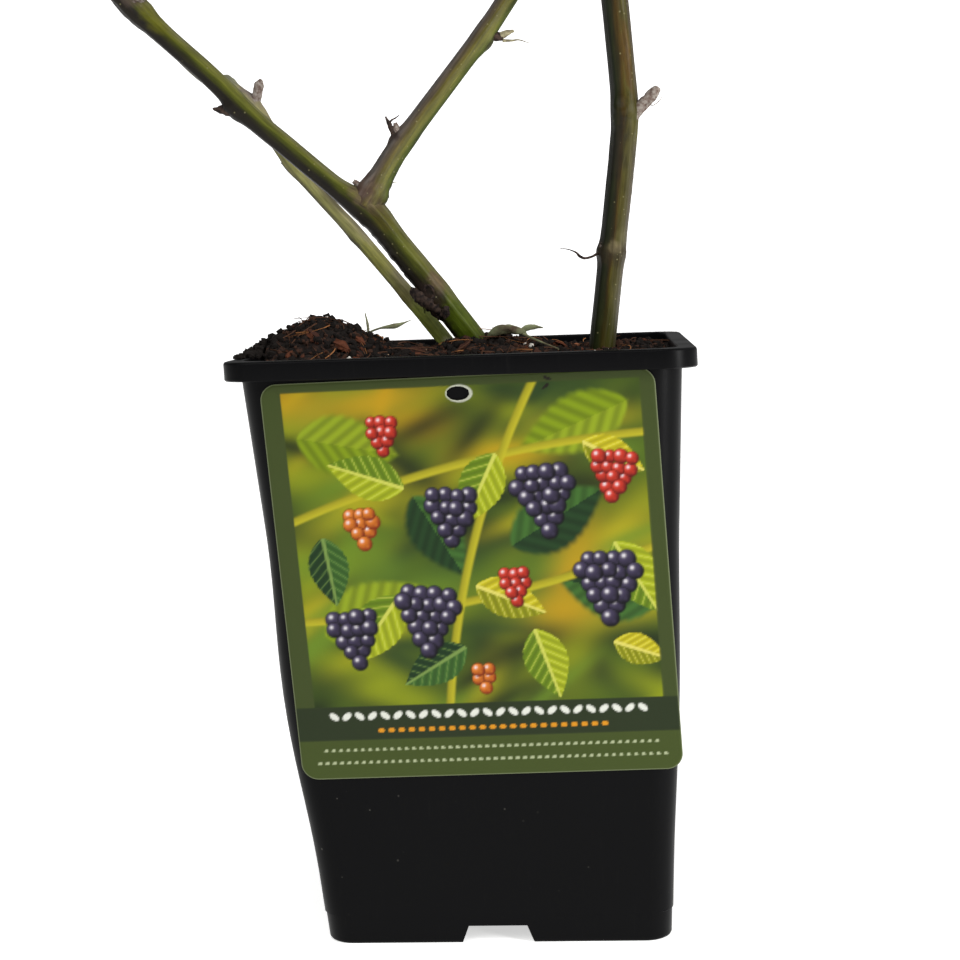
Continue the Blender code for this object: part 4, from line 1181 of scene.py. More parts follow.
def cane_mesh(name, limb, start, lit, tone, stops, bumps, patches, dirt=(0, 0), rough_base=0.0):
    """A cane with its angles, nodes, bumps and painted skin. A bump is a reach in mm, a side, a
    height, its run below and above it in mm and how narrow it is. A patch is a reach in mm, a
    side, half its length in mm and half its width in degrees, a colour and a strength. The skin's
    colour runs through the stops from the side away from the lit way to the side towards it, partly
    the bark's own colour and partly painted light and shade; the tone darkens all of it evenly, as
    painted shade."""
    last = limb.reaches[-1]
    count = round((last - start) / CANE_STEP)
    reaches = [start + (last - start) * i / count for i in range(count + 1)]
    points = [limb.centre(max(reach, 0)) + limb.way(1) * min(reach, 0) for reach in reaches]
    lit = Vector(lit).normalized()
    # Every stop and patch colour is darkened evenly by the tone: painted shade, for less light on the cane
    stops = [(place, Vector(linear(code)) * tone) for place, code in stops]
    bumps = [(at * MM, facing(limb, at * MM, side), height * MM, below * MM, above * MM, narrow)
             for at, side, height, below, above, narrow in bumps]
    patches = [(at * MM, facing(limb, at * MM, side), length * MM, math.radians(width), Vector(linear(code)) * tone, strength)
               for at, side, length, width, code, strength in patches]
    seed = Vector((0, 0, len(name) * 7.3 + limb.radii[0] * 5000))

    def skin(row, angle, outward):
        reach = reaches[row]
        radius = limb.radius(max(reach, 0))
        round_spot = Vector((math.cos(angle), math.sin(angle), 0)) * radius
        along = Vector((0, 0, reach))
        for node in limb.reaches[1:-1]:
            radius *= 1 + NODE_SWELL * math.exp(-((reach - node) / NODE_REACH) ** 2)
        radius *= 1 + CANE_RIDGE * (math.cos(5 * angle) + 0.3 * math.cos(10 * angle))
        radius += 0.1 * MM * noise.noise(round_spot / (2.4 * MM) + along / (16 * MM) + seed)
        radius += 0.035 * MM * noise.noise(round_spot / (0.7 * MM) + along / (9 * MM) + seed)
        lump = noise.noise(round_spot / (1.5 * MM) + along / (1.8 * MM) + seed)
        low, high = dirt
        dirty = smooth_share(low * MM, low * MM + 6 * MM, reach) * (1 - smooth_share(high * MM - 6 * MM, high * MM, reach))
        under = smooth_share(0.35, 0.8, -outward.dot(lit)) * dirty
        radius += 0.55 * MM * under * max(0, lump) + rough_base * MM * max(0, lump) * (1 - smooth_share(0, 4 * MM, reach))
        for at, side, height, below, above, narrow in bumps:
            run = (reach - at) / (below if reach < at else above)
            if abs(run) < 2.5:
                radius += height * math.exp(-run * run) * max(0.0, outward.dot(side)) ** narrow * (1 + 0.35 * lump)
        drift = noise.noise(round_spot / (4 * MM) + along / (26 * MM) + seed)
        fine = noise.noise(round_spot / (0.8 * MM) + along / (10 * MM) + seed)
        # Colour by side towards the lit way: partly bark colour, partly painted light on the lit side and painted shade
        # beneath
        colour = blend_stops(stops, outward.dot(lit) + 0.22 * drift + 0.16 * fine)
        colour = colour * (1 + 0.22 * fine + 0.25 * noise.noise(round_spot / (1.2 * MM) + along / (4 * MM) + seed))
        for at, side, length, width, patch, strength in patches:
            turn = math.acos(min(1.0, max(-1.0, outward.dot(side)))) / width
            away = math.hypot((reach - at) / length, turn)
            if away < 1.6:
                colour = colour.lerp(patch * (1 + 0.3 * fine + 0.3 * lump),
                                     strength * smooth_share(1.3, 0.5, away + 0.45 * lump + 0.2 * fine))
        return radius, [max(0.0, share) for share in colour]

    return roll_up(name, CANE_AROUND, points, skin)


def green_bark(name, roughness):
    """Living green bark: a thin smooth skin with a waxy half gloss, fine streaks and cracks along
    the stem, and scattered pale corky dots."""
    material, tree, shader = new_finish(name, "#5a5c24", roughness, 0.16)
    skin = add(tree, "VertexColor", {"layer_name": "bark"}).outputs["Color"]
    place = add(tree, "Attribute", {"attribute_name": "grain"}).outputs["Vector"]
    drawn = add(tree, "Mapping", values={"Scale": (1, 1, 0.07)}, links={"Vector": place}).outputs["Vector"]
    streaks = add(tree, "TexNoise", values={"Scale": 1 / 0.0006, "Detail": 4, "Roughness": 0.6},
                  links={"Vector": drawn}).outputs["Fac"]
    tone = add(tree, "MapRange", values={"From Min": 0.3, "From Max": 0.7, "To Min": 0.72, "To Max": 1.3},
               links={"Value": streaks}).outputs["Result"]
    toned = add(tree, "HueSaturation", links={"Value": tone, "Color": skin}).outputs["Color"]
    cells = add(tree, "TexVoronoi", values={"Scale": 1 / 0.0026, "Randomness": 1}, links={"Vector": place})
    dots = add(tree, "MapRange", values={"From Min": 0.11, "From Max": 0.07, "To Max": 0.45},
               links={"Value": cells.outputs["Distance"]}).outputs["Result"]
    colour = add(tree, "Mix", {"data_type": "RGBA"}, {"B": linear("#837d58") + [1]}, {"Factor": dots, "A": toned})
    tree.links.new(colour.outputs["Result"], shader.inputs["Base Color"])
    rough = add(tree, "MapRange", values={"From Min": 0.3, "From Max": 0.7, "To Min": roughness - 0.08,
                                          "To Max": roughness + 0.12}, links={"Value": streaks})
    tree.links.new(rough.outputs["Result"], shader.inputs["Roughness"])
    height = add(tree, "Math", {"operation": "MULTIPLY_ADD"}, {1: 0.6}, {0: dots, 2: streaks}).outputs["Value"]
    bump = add(tree, "Bump", values={"Strength": 0.5, "Distance": 0.00025}, links={"Height": height})
    tree.links.new(bump.outputs["Normal"], shader.inputs["Normal"])
    return material


def finish_cane(made, material, node):
    made.data.materials.append(material)
    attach(made, "root")
    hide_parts(node)


def foot_of(place, node):
    """The middle of a cane's foot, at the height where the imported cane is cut."""
    return Vector((*place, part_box(node)[0][2]))


left = Limb(foot_of(LEFT_FOOT, "cane_left"), LEFT_INTERNODES, LEFT_RADII, LEFT_BOW, (FORK_NODE, FORK_THINNING))
left_cane = cane_mesh(
    "left_cane", left, -CANE_BURIED, side_of(left.way(3), 0), 0.6,
    [(-1, "#1f1a12"), (-0.45, "#1b160d"), (-0.15, "#2c2b08"), (0.1, "#474c0a"), (0.4, "#62651c"), (0.75, "#6d6c33"),
     (1, "#6f6d4a")],
    [(16.5, 140, 1.0, 4, 3, 1.5), (47, 0, 1.0, 7, 4, 1.5), (93.5, 172, 1.5, 5, 2, 3), (131, 30, 1.0, 6, 8, 1.5),
     (131, 200, 0.8, 6, 7, 1.5)],
    [(5, 70, 12, 75, "#4f6008", 0.8), (17, 125, 5.5, 55, "#2b1c14", 0.9), (19.5, 55, 3.4, 40, "#75624a", 0.85),
     (49, 45, 5.5, 55, "#75624c", 0.75), (42, 70, 5, 45, "#4d420a", 0.6), (94, 172, 4.5, 50, "#171310", 0.9),
     (134, 55, 5.5, 70, "#5a4c42", 0.85), (124, 50, 6, 60, "#68660a", 0.6), (146, 90, 10, 130, "#2a360e", 0.5)],
    dirt=(16, 52))
finish_cane(left_cane, green_bark("green cane bark", 0.42), "cane_left")

# Branch on the left cane
# A year-old side branch that leaves the left cane at a swollen collar of dry purple scales. Its skin
# has browned to purple on the side that faces up, and has stayed olive below, where its underside is
# painted darker as shade.
FORK_RADII = (2.95 * MM, 2.7 * MM)
FORK_INTERNODES = [(22.4, 32.1, 17), (37.6, 39.6, 12), (25.0, 36.7, 18)]
FORK_BOW = [(0, 0), (12, 0), (26, -0.5), (62, -0.45), (85, 0)]

fork = Limb(left.nodes[FORK_NODE], FORK_INTERNODES, FORK_RADII, FORK_BOW)
branch = cane_mesh(
    "branch", fork, 0, side_of(fork.way(2), 0), 0.52,
    [(-1, "#2f3a12"), (-0.75, "#55601a"), (-0.4, "#7c7a34"), (-0.1, "#74702c"), (0.25, "#6a602a"), (0.6, "#685a44"),
     (0.9, "#6a6057"), (1, "#6c6660")],
    [(4, 0, 0.65, 9, 14, 0), (4.5, 0, 0.9, 9, 4, 0), (21.5, 10, 0.8, 2.5, 3, 3), (58.5, 180, 0.9, 4, 1.6, 3)],
    [(3.5, 60, 6, 180, "#6b5448", 0.9), (6.3, 75, 1.0, 70, "#3a2b16", 0.7), (4.5, 100, 1.2, 30, "#8a7a5a", 0.7),
     (21.5, 10, 2.6, 60, "#35201a", 0.85), (25, 20, 3, 50, "#665646", 0.7), (58.5, 170, 4, 55, "#33261c", 0.7),
     (61.5, 90, 1.0, 100, "#57481f", 0.5)])
finish_cane(branch, green_bark("purple and olive cane bark", 0.45), "cane_left_fork")

# Rear cane
# A thinner, paler cane behind the left one, with a duller grey-green skin, painted darker on its
# underside as shade. Its foot has cracked open to the pale wood where it enters the compost.
REAR_FOOT = (-11.2 * MM, 11.6 * MM)
REAR_RADII = (2.15 * MM, 2.0 * MM)
REAR_INTERNODES = [(19.4, 38.4, 168.5), (26.5, 39.3, 171), (26.8, 43.2, 172), (22.4, 33.2, 161), (14.2, 66.7, 165),
                   (32.1, 46.2, 162.5)]
REAR_BOW = [(0, -0.7), (50, -0.75), (74, 0), (92, 0), (141, 0)]

rear = Limb(foot_of(REAR_FOOT, "cane_rear"), REAR_INTERNODES, REAR_RADII, REAR_BOW)
rear_cane = cane_mesh(
    "rear_cane", rear, -CANE_BURIED, side_of(rear.way(2), 0), 0.95,
    [(-1, "#4c4a38"), (-0.75, "#5f5c3e"), (-0.35, "#85834c"), (0.2, "#8b8856"), (0.6, "#868058"), (1, "#6d6650")],
    [(19.4, 200, 0.25, 4, 2, 2), (43, 180, 0.35, 3, 2, 2), (71, 190, 0.6, 5, 2.5, 2), (93, 350, 0.5, 5, 3, 2),
     (103, 0, 1.5, 3.2, 3.0, 2)],
    [(7, 90, 13, 150, "#7f8a3a", 0.8), (0.5, 60, 2.6, 70, "#b5b18c", 0.75), (33, 90, 7, 90, "#8a8a34", 0.5),
     (20, 120, 4, 90, "#6a6238", 0.6), (70, 190, 6, 55, "#3a352c", 0.85), (95, 350, 5, 75, "#75696a", 0.7),
     (103, 0, 4.5, 70, "#6e7060", 0.7)],
    rough_base=0.5)
finish_cane(rear_cane, green_bark("grey green cane bark", 0.5), "cane_rear")

# Right cane
# An upright cane of its own, the darkest: black-green on the side away from the light, partly its
# own colour and partly painted shade, with an orange-brown stripe between that and its olive side,
# and a ring at its lowest node.
RIGHT_FOOT = (31.5 * MM, 0 * MM)
RIGHT_RADII = (3.6 * MM, 3.55 * MM)
RIGHT_INTERNODES = [(28.1, 7.8, 345), (37.9, 8.4, 327), (34.7, 7.9, 237), (23.2, 9.0, 236)]
RIGHT_BOW = [(0, 0), (124, 0)]
SPUR_SIDE = 146

right = Limb(foot_of(RIGHT_FOOT, "cane_right"), RIGHT_INTERNODES, RIGHT_RADII, RIGHT_BOW)
right_cane = cane_mesh(
    "right_cane", right, -CANE_BURIED, (1, -0.15, 0), 0.6,
    [(-1, "#25231d"), (-0.75, "#1d2011"), (-0.35, "#1d240a"), (-0.05, "#2c260b"), (0.15, "#463308"), (0.4, "#4d4610"),
     (0.75, "#4f4a20"), (1, "#554c3a")],
    [(27.5, (0, -1, 0), 0.25, 3, 0.8, 0), (28.0, (-1, -0.2, 0), 0.5, 2.5, 1.5, 3), (66.5, SPUR_SIDE, 1.3, 8, 3, 2),
     (49, (-1, 0, 0), -0.25, 16, 12, 2), (50, (1, 0, 0), 0.3, 14, 14, 2)],
    [(6, (0.5, -1, 0), 9, 120, "#333a0e", 0.4), (29, (0.15, -1, 0), 1.7, 32, "#978a62", 0.9),
     (27, (0, -1, 0), 3.4, 180, "#3d3120", 0.55), (32, (0.8, -0.6, 0), 2.5, 40, "#6f6845", 0.6),
     (15, (0.8, -0.6, 0), 6, 35, "#5f5a3c", 0.45), (62, SPUR_SIDE, 5, 60, "#5c5a0e", 0.6),
     (80, (0.5, -1, 0), 10, 25, "#5a3c08", 0.7), (56, (-0.3, -1, 0), 9, 45, "#241d17", 0.5)])
finish_cane(right_cane, green_bark("dark green cane bark", 0.42), "cane_right")

# Buds and dry leaf bases at the nodes
# Each node keeps what the fallen leaf left: a bud in dry overlapping scales, a torn stalk, or the
# hollow stub of a lost shoot. All of it is dead brown or grey tissue on the living stem.
SCALE_STEPS = (6, 8)
SCALE_THICKNESS = 0.14 * MM


def bud_scale(length, width, start, spread, flare, seed):
    """One cupped, pointed scale of a bud, at a turn round it, that flares out towards its tip."""
    def reshape(points):
        draws = np.random.default_rng(seed)
        along = (points[:, 1] + 1) / 2
        shrink = np.clip(1 - along ** 2.4, 0, 1) ** 0.7
        turn = start + points[:, 0] * spread * shrink
        away = width / 2 * (0.62 + 0.75 * np.sin(np.pi * np.clip(along, 0, 1) ** 0.8) * (1 - 0.3 * along)) * (1 - 0.8 * along ** 3)
        away = away + flare * along ** 3 + points[:, 2] * SCALE_THICKNESS + draws.uniform(-0.05, 0.05, len(points)) * width * along
        return np.stack([away * np.cos(turn), away * np.sin(turn), along * length], 1)
    return reshape


def scaly_bud(rng, limb, reach, side, length, width, lean=55, scales=7, flare=0.1):
    """The placings of a bud's scales: its root is sunk in the stem, and outer scales are shorter."""
    out = facing(limb, reach, side)
    i = next((i for i in range(1, len(limb.nodes)) if reach <= limb.reaches[i] + 0.1 * MM), len(limb.nodes) - 1)
    axis = limb.way(i)
    out = (out - axis * out.dot(axis)).normalized()
    way = (out * math.sin(math.radians(lean)) + axis * math.cos(math.radians(lean))).normalized()
    root = limb.centre(reach) + out * limb.radius(reach) * 0.75
    stand = Matrix.Translation(root) @ way.to_track_quat("Z", "Y").to_matrix().to_4x4()
    placings = []
    for scale in range(scales):
        inner = scale / scales
        placings.append((stand, bud_scale(length * (0.55 + 0.5 * inner) * rng.uniform(0.9, 1.1), width * (1.05 - 0.35 * inner),
                                          scale * 2.4 + rng.uniform(-0.3, 0.3), 1.5, flare * width * rng.uniform(-0.5, 1.6),
                                          rng.randrange(10 ** 6))))
    return placings


def dead_scales(name, dark, pale):
    """Dry bud scales: thin brown membranes, darker at their roots, felted grey in patches."""
    material, tree, shader = new_finish(name, dark, 0.85, 0.25)
    place = add(tree, "TexCoord").outputs["Object"]
    felt = add(tree, "TexNoise", values={"Scale": 1 / 0.0011, "Detail": 4}, links={"Vector": place}).outputs["Fac"]
    ramp = add(tree, "ValToRGB", links={"Fac": felt})
    ramp.color_ramp.elements[0].position = 0.4
    ramp.color_ramp.elements[0].color = linear(dark) + [1]
    ramp.color_ramp.elements[1].position = 0.62
    ramp.color_ramp.elements[1].color = linear(pale) + [1]
    tree.links.new(ramp.outputs["Color"], shader.inputs["Base Color"])
    bump = add(tree, "Bump", values={"Strength": 0.6, "Distance": 0.0002}, links={"Height": felt})
    tree.links.new(bump.outputs["Normal"], shader.inputs["Normal"])
    return material


bpy.ops.object.select_all(action="DESELECT")
bpy.ops.mesh.primitive_grid_add(x_subdivisions=SCALE_STEPS[0], y_subdivisions=SCALE_STEPS[1], size=2)
thick = bpy.context.object.modifiers.new("thickness", "SOLIDIFY")
thick.thickness = 1
thick.offset = 0
bpy.ops.object.modifier_apply(modifier=thick.name)
scale_template = take_template()

rng = random.Random(41)
collar = []
for k in range(22):
    collar += scaly_bud(rng, fork, rng.uniform(2.6, 6.2) * MM, k * 360 / 22 + rng.uniform(-8, 8), rng.uniform(1.6, 2.6) * MM,
                        rng.uniform(1.5, 2.6) * MM, rng.uniform(18, 45), 1, 0.35)
join_copies("collar_scales", scale_template, collar, dead_scales("dry pink brown scales", "#5a4038", "#8a7462"))
stub_scales = []
for k in range(26):
    stub_scales += scaly_bud(rng, left, rng.uniform(10, 20) * MM, rng.uniform(105, 185), rng.uniform(2.4, 4.2) * MM,
                             rng.uniform(2.0, 3.4) * MM, rng.uniform(35, 100), 1, 0.4)
stub_scales += scaly_bud(rng, left, 94 * MM, 172, 3.4 * MM, 3.0 * MM, 70, 6)
join_copies("dark_bud_scales", scale_template, stub_scales, dead_scales("dry dark bud scales", "#170f0d", "#3a2c24"))
grey_buds = (scaly_bud(rng, right, 28.6 * MM, -60, 2.0 * MM, 2.0 * MM, 50, 4)
             + scaly_bud(rng, right, 100.7 * MM, 60, 5.0 * MM, 2.6 * MM, 50, 7)
             + scaly_bud(rng, left, 131.5 * MM, 40, 2.4 * MM, 3.6 * MM, 75, 9, 0.4)
             + scaly_bud(rng, rear, 72.7 * MM, 190, 1.8 * MM, 2.0 * MM, 50, 5))
join_copies("grey_bud_scales", scale_template, grey_buds, dead_scales("dry felted bud scales", "#4a3d36", "#7c736c"))


def knobbly(name, points, radii, lumps, grain):
    """A dry bud, stub or spur: a smooth tapered body with a lumpy, scaly skin."""
    made = wire(name, tapered(points, 6, radii), 24)
    for vert in made.data.vertices:
        spot = vert.co.copy()
        vert.co = spot + vert.normal * lumps * MM * (noise.noise(spot / (grain * MM)) + 0.5 * noise.noise(spot / (0.4 * grain * MM)))
    return made


dark_parts = [
    knobbly("low_bud", [(-66.9, -4.0, 224.8), (-69.5, -4.4, 223.9), (-71.6, -4.5, 224.0), (-73.2, -4.5, 224.2), (-74.0, -4.5, 224.3)],
            (2.1, 1.9, 1.15, 0.6, 0.15), 0.25, 1.2),
    knobbly("torn_stub", [(-21.8, 3.2, 172.2), (-19.4, 2.6, 171.0), (-16.7, 2.4, 169.2), (-13.9, 2.6, 167.0), (-12.0, 3.4, 165.3)],
            (0.9, 2.2, 2.7, 2.1, 0.6), 0.7, 1.5),
    knobbly("long_prong", [(-23.9, 4.2, 214.8), (-25.2, 3.7, 217.0), (-26.2, 3.5, 219.1), (-27.0, 3.5, 220.9)],
            (1.5, 0.85, 0.6, 0.2), 0.18, 0.9),
    knobbly("short_prong", [(-26.2, 3.5, 219.0), (-25.3, 3.5, 219.9), (-24.1, 3.5, 220.5), (-23.1, 3.5, 221.2)],
            (0.4, 0.28, 0.2, 0.08), 0.05, 0.6),
    knobbly("collar_tuft", [(-28.5, 3.2, 200.6), (-27.7, 2.6, 199.6), (-27.3, 2.2, 198.6)], (1.0, 1.1, 0.3), 0.5, 0.9),
    knobbly("thread", [(32.9, -2.2, 182.1), (31.7, -2.5, 181.3), (29.8, -2.5, 180.1), (27.5, -2.5, 179.6), (26.0, -2.5, 180.3),
                       (25.1, -2.5, 181.3), (23.0, -2.5, 182.2), (20.7, -2.5, 182.6)],
            (0.5, 0.42, 0.36, 0.36, 0.4, 0.26, 0.16, 0.08), 0.05, 1.5),
    knobbly("branch_bud", [(1.8, 9.5, 242.7), (4.3, 9.5, 242.2), (6.3, 9.5, 241.8)], (1.5, 1.35, 0.9), 0.2, 0.8),
]
merge("dead_dark_parts", dark_parts, dead_scales("dry dark stub and scales", "#1a1210", "#3f3129"))
grey_parts = [
    knobbly("rear_bud", [(-68.6, 23.2, 226.2), (-67.2, 22.6, 228.6), (-66.4, 22.5, 231.2), (-65.8, 22.5, 233.2), (-65.2, 22.5, 234.8)],
            (1.9, 1.5, 1.45, 1.5, 0.4), 0.2, 1.1),
    knobbly("collar_flap", [(-33.0, 1.2, 200.6), (-35.2, 0.6, 202.3), (-36.5, 0.5, 203.3)], (1.2, 0.95, 0.6), 0.25, 0.9),
    knobbly("prong_lobe", [(-23.3, 4.0, 214.9), (-24.1, 3.5, 217.5), (-24.4, 3.5, 219.2)], (1.3, 1.05, 0.4), 0.25, 0.8),
    knobbly("spur", [(40.2, -4.6, 216.6), (43.4, -5.2, 219.6), (46.0, -5.5, 221.9), (47.7, -5.6, 223.7), (48.6, -5.7, 225.0)],
            (2.2, 1.8, 1.6, 1.55, 0.8), 0.22, 1.1),
    wire("spur_hair", tapered([(45.8, -7.2, 220.6), (47.1, -8.0, 219.9), (48.8, -8.0, 221.0), (49.7, -7.6, 222.2)], 5,
                              (0.14, 0.12, 0.1))),
]
merge("dead_grey_parts", grey_parts, dead_scales("dry grey buds and spur", "#5c4c44", "#8a827a"))
pale_parts = [
    knobbly("branch_scale", [(5.7, 9.5, 242.3), (7.4, 9.5, 243.0), (9.4, 9.5, 243.6)], (1.1, 0.85, 0.3), 0.15, 0.8),
    wire("branch_thread", tapered([(6.1, 9.5, 241.0), (8.8, 9.5, 240.9), (10.7, 9.5, 241.0), (13.6, 9.5, 240.0)], 5, (0.5, 0.32, 0.2, 0.08))),
    wire("collar_hair", tapered([(-27.6, 2.4, 202.0), (-25.4, 1.8, 202.6), (-22.9, 1.5, 202.6)], 5, (0.26, 0.14, 0.06))),
    knobbly("torn_skin", [(-10.0, 8.6, 157.6), (-10.7, 8.2, 156.2), (-12.1, 8.0, 155.3), (-13.8, 8.0, 154.9)],
            (0.6, 0.55, 0.45, 0.2), 0.2, 0.9),
]
merge("torn_pale_skin", pale_parts, dead_scales("torn pale bast", "#6e6650", "#a09878"))
green_spike = [knobbly("stub_spike", [(-17.9, 2.2, 169.6), (-17.8, 1.7, 167.4), (-18.0, 1.5, 165.9)], (1.0, 0.65, 0.15), 0.1, 0.8)]
merge("stub_spike", green_spike, dead_scales("green torn skin", "#262a08", "#3f440e"))

# Twigs
# The cut-back crown's thin growth: from each cane's tip a leader runs on, which bears side shoots
# round it, and those bear finer ones. It has lost its leaves, and a bud sits at each node.
CAD_GAP = 0.3 * MM
TWIG_NODES = (6, 5, 3, 2)
FIRST_STEP = (29 * MM, 23 * MM, 15 * MM, 7.5 * MM)
STEP_SHARE = 0.92
ZIGZAG = math.radians(9)
RISE = math.radians(3.5)
ROUND_STEP = math.radians(144)
SHOOT_ANGLE = math.radians(50)
SHOOT_SPREAD = math.radians(9)
SHOOT_RADIUS_SHARE = 0.52
TIP_RADIUS_SHARE = 0.5
LEAST_RADIUS = (0.75 * MM, 0.75 * MM, 0.75 * MM, 0.42 * MM)
SHOOT_ROOT = 0.4
SPACE_REACH = 92 * MM
SPACE_MARGIN = 5 * MM
LIMB_CLEARANCE = 2.5 * MM
TWIG_CLEARANCE = 2.0 * MM
TWIG_SIDES = 10
TWIG_STEPS = 5
TWIG_NODE_SWELL = 0.22
# The mass, its limb, the limb's thickness at its foot and tip, and its leader's seed and turn
MASSES = [
    ("twigs_left", left, 3.8 * MM, 2.736 * MM, 4, 5),
    ("twigs_left_fork", fork, 2.95 * MM, 2.7 * MM, 11, 2),
    ("twigs_rear", rear, 2.35 * MM, 2.05 * MM, 23, -6),
    ("twigs_right", right, 3.7 * MM, 3.45 * MM, 32, 9),
]


def line_distance(point, line):
    """How far a point is from a line of points."""
    nearest = 1.0
    for low, high in zip(line, line[1:]):
        foot, share = intersect_point_line(point, low, high)
        foot = low if share < 0 else high if share > 1 else foot
        nearest = min(nearest, (point - foot).length)
    return nearest


class Stem:
    """One stem of a twig mass: its (point, radius) knots, its order and its side at each node."""

    def __init__(self, knots, order, sides):
        self.knots = knots
        self.order = order
        self.sides = sides

    def points(self):
        return [point for point, _ in self.knots]

    def axis(self, i):
        return (self.knots[i][0] - self.knots[i - 1][0]).normalized()


def run_of_nodes(start, way, radius, order, rng, turn=0.0):
    """The nodes of one stem. A leader's first internode runs straight on from its limb."""
    count = TWIG_NODES[order]
    step = FIRST_STEP[order]
    side = side_of(way, rng.uniform(0, math.tau))
    knots = [(start, radius)]
    for i in range(count):
        if order or i:
            zig = Matrix.Rotation(ZIGZAG * (1 if i % 2 else -1), 3, way.cross(side))
            lift = way.cross(Vector((0, 0, 1)))
            rise = Matrix.Rotation(RISE, 3, lift) if lift.length > 0.05 else Matrix.Identity(3)
            way = (Matrix.Rotation(turn, 3, "Z") @ rise @ zig @ way).normalized()
        end = radius * (1 + (TIP_RADIUS_SHARE - 1) * (i + 1) / count)
        knots.append((knots[-1][0] + way * step, max(LEAST_RADIUS[order], end)))
        step *= STEP_SHARE
    sides = [rng.uniform(0, math.tau)]
    for _ in range(count):
        sides.append(sides[-1] + ROUND_STEP)
    return Stem(knots, order, sides)


def fits(stem, own_line, other_lines, limbs, stems):
    """Whether a side shoot keeps to its own mass's space and clear of limbs and of other twigs."""
    root = stem.knots[0][0]
    for (low, _), (high, radius) in zip(stem.knots, stem.knots[1:]):
        for share in (0.35, 0.7, 1.0):
            point = low.lerp(high, share)
            own = line_distance(point, own_line)
            if own > SPACE_REACH or any(line_distance(point, line) < own + SPACE_MARGIN for line in other_lines):
                return False
            if any(line_distance(point, line) < thick + radius + LIMB_CLEARANCE for line, thick in limbs):
                return False
            if (point - root).length < 9 * MM:
                continue
            if any(line_distance(point, other.points()) < 2 * radius + TWIG_CLEARANCE for other in stems):
                return False
    return True


def in_box(stem):
    """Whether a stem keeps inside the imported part's box."""
    low, high = cad_box
    return all(low[k] + radius < point[k] < high[k] - radius for point, radius in stem.knots for k in range(3))


def grow_order(parents, order, rng, stems, own_line, other_lines, limbs):
    """The shoots of one order. One that doesn't fit is shortened, and at last left out."""
    grown = []
    for parent in parents:
        for i in range(1, len(parent.knots) - 1):
            point, radius = parent.knots[i]
            axis = parent.axis(i)
            out = side_of(axis, parent.sides[i])
            angle = SHOOT_ANGLE + rng.uniform(-1, 1) * SHOOT_SPREAD
            way = axis * math.cos(angle) + out * math.sin(angle)
            thick = max(LEAST_RADIUS[order], radius * SHOOT_RADIUS_SHARE)
            shoot = run_of_nodes(point + out * radius * SHOOT_ROOT, way, thick, order, rng)
            while len(shoot.knots) > 2:
                if fits(shoot, own_line, other_lines, limbs, stems) and (order < 3 or in_box(shoot)):
                    grown.append(shoot)
                    stems.append(shoot)
                    break
                shoot.knots.pop()
    return grown


def stem_rows(stem):
    """The (point, radius) rows of a stem: a smooth line through its nodes, thicker at each."""
    path = smooth_path(stem.points(), TWIG_STEPS)
    rows = []
    for i, point in enumerate(path):
        node, share = divmod(i, TWIG_STEPS)
        first = stem.knots[node][1]
        second = stem.knots[min(node + 1, len(stem.knots) - 1)][1]
        near = 0 < i and (share == 0 or share == TWIG_STEPS - 1)
        swell = TWIG_NODE_SWELL * (1.0 if share == 0 else 0.3) if near and i < len(path) - 1 else 0.0
        rows.append((point, (first + (second - first) * share / TWIG_STEPS) * (1 + swell)))
    point, radius = rows[-1]
    if stem.order:
        way = (path[-1] - path[-2]).normalized()
        rows[-1] = (point - way * 0.4 * radius, radius * 0.75)
        rows.append((point, radius * 0.3))
    return rows


def stem_arrays(stems):
    """All the stems as round tubes with closed ends, in one list of points and one of faces."""
    spots = []
    faces = []
    for stem in stems:
        rows = stem_rows(stem)
        first = len(spots)
        for (point, radius), (_, level, upper) in zip(rows, frames_along([row[0] for row in rows])):
            for k in range(TWIG_SIDES):
                angle = math.tau * k / TWIG_SIDES
                ridge = 1 + 0.04 * math.cos(5 * angle)
                spots.append(point + (upper * math.cos(angle) + level * math.sin(angle)) * radius * ridge)
        for row in range(len(rows) - 1):
            base = first + row * TWIG_SIDES
            for k in range(TWIG_SIDES):
                k2 = (k + 1) % TWIG_SIDES
                faces.append([base + k, base + TWIG_SIDES + k, base + TWIG_SIDES + k2, base + k2])
        faces.append([first + k for k in range(TWIG_SIDES)])
        last = first + (len(rows) - 1) * TWIG_SIDES
        faces.append([last + k for k in reversed(range(TWIG_SIDES))])
    return spots, faces


def keep_in_box(made):
    """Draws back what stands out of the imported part's box by a fraction of a millimetre."""
    low, high = cad_box
    for vert in made.data.vertices:
        vert.co = [min(max(vert.co[k], low[k]), high[k]) for k in range(3)]


def twig_piece(name, stems, material):
    spots, faces = stem_arrays(stems)
    mesh = bpy.data.meshes.new(name)
    mesh.from_pydata(spots, [], faces)
    mesh.materials.append(material)
    made = bpy.data.objects.new(name, mesh)
    bpy.context.scene.collection.objects.link(made)
    bpy.ops.object.select_all(action="DESELECT")
    made.select_set(True)
    bpy.context.view_layer.objects.active = made
    bpy.ops.object.mode_set(mode="EDIT")
    bpy.ops.mesh.select_all(action="SELECT")
    bpy.ops.mesh.normals_make_consistent(inside=False)
    bpy.ops.object.mode_set(mode="OBJECT")
    bpy.ops.object.shade_smooth_by_angle(angle=math.radians(60))
    keep_in_box(made)
    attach(made, "root")
    return made


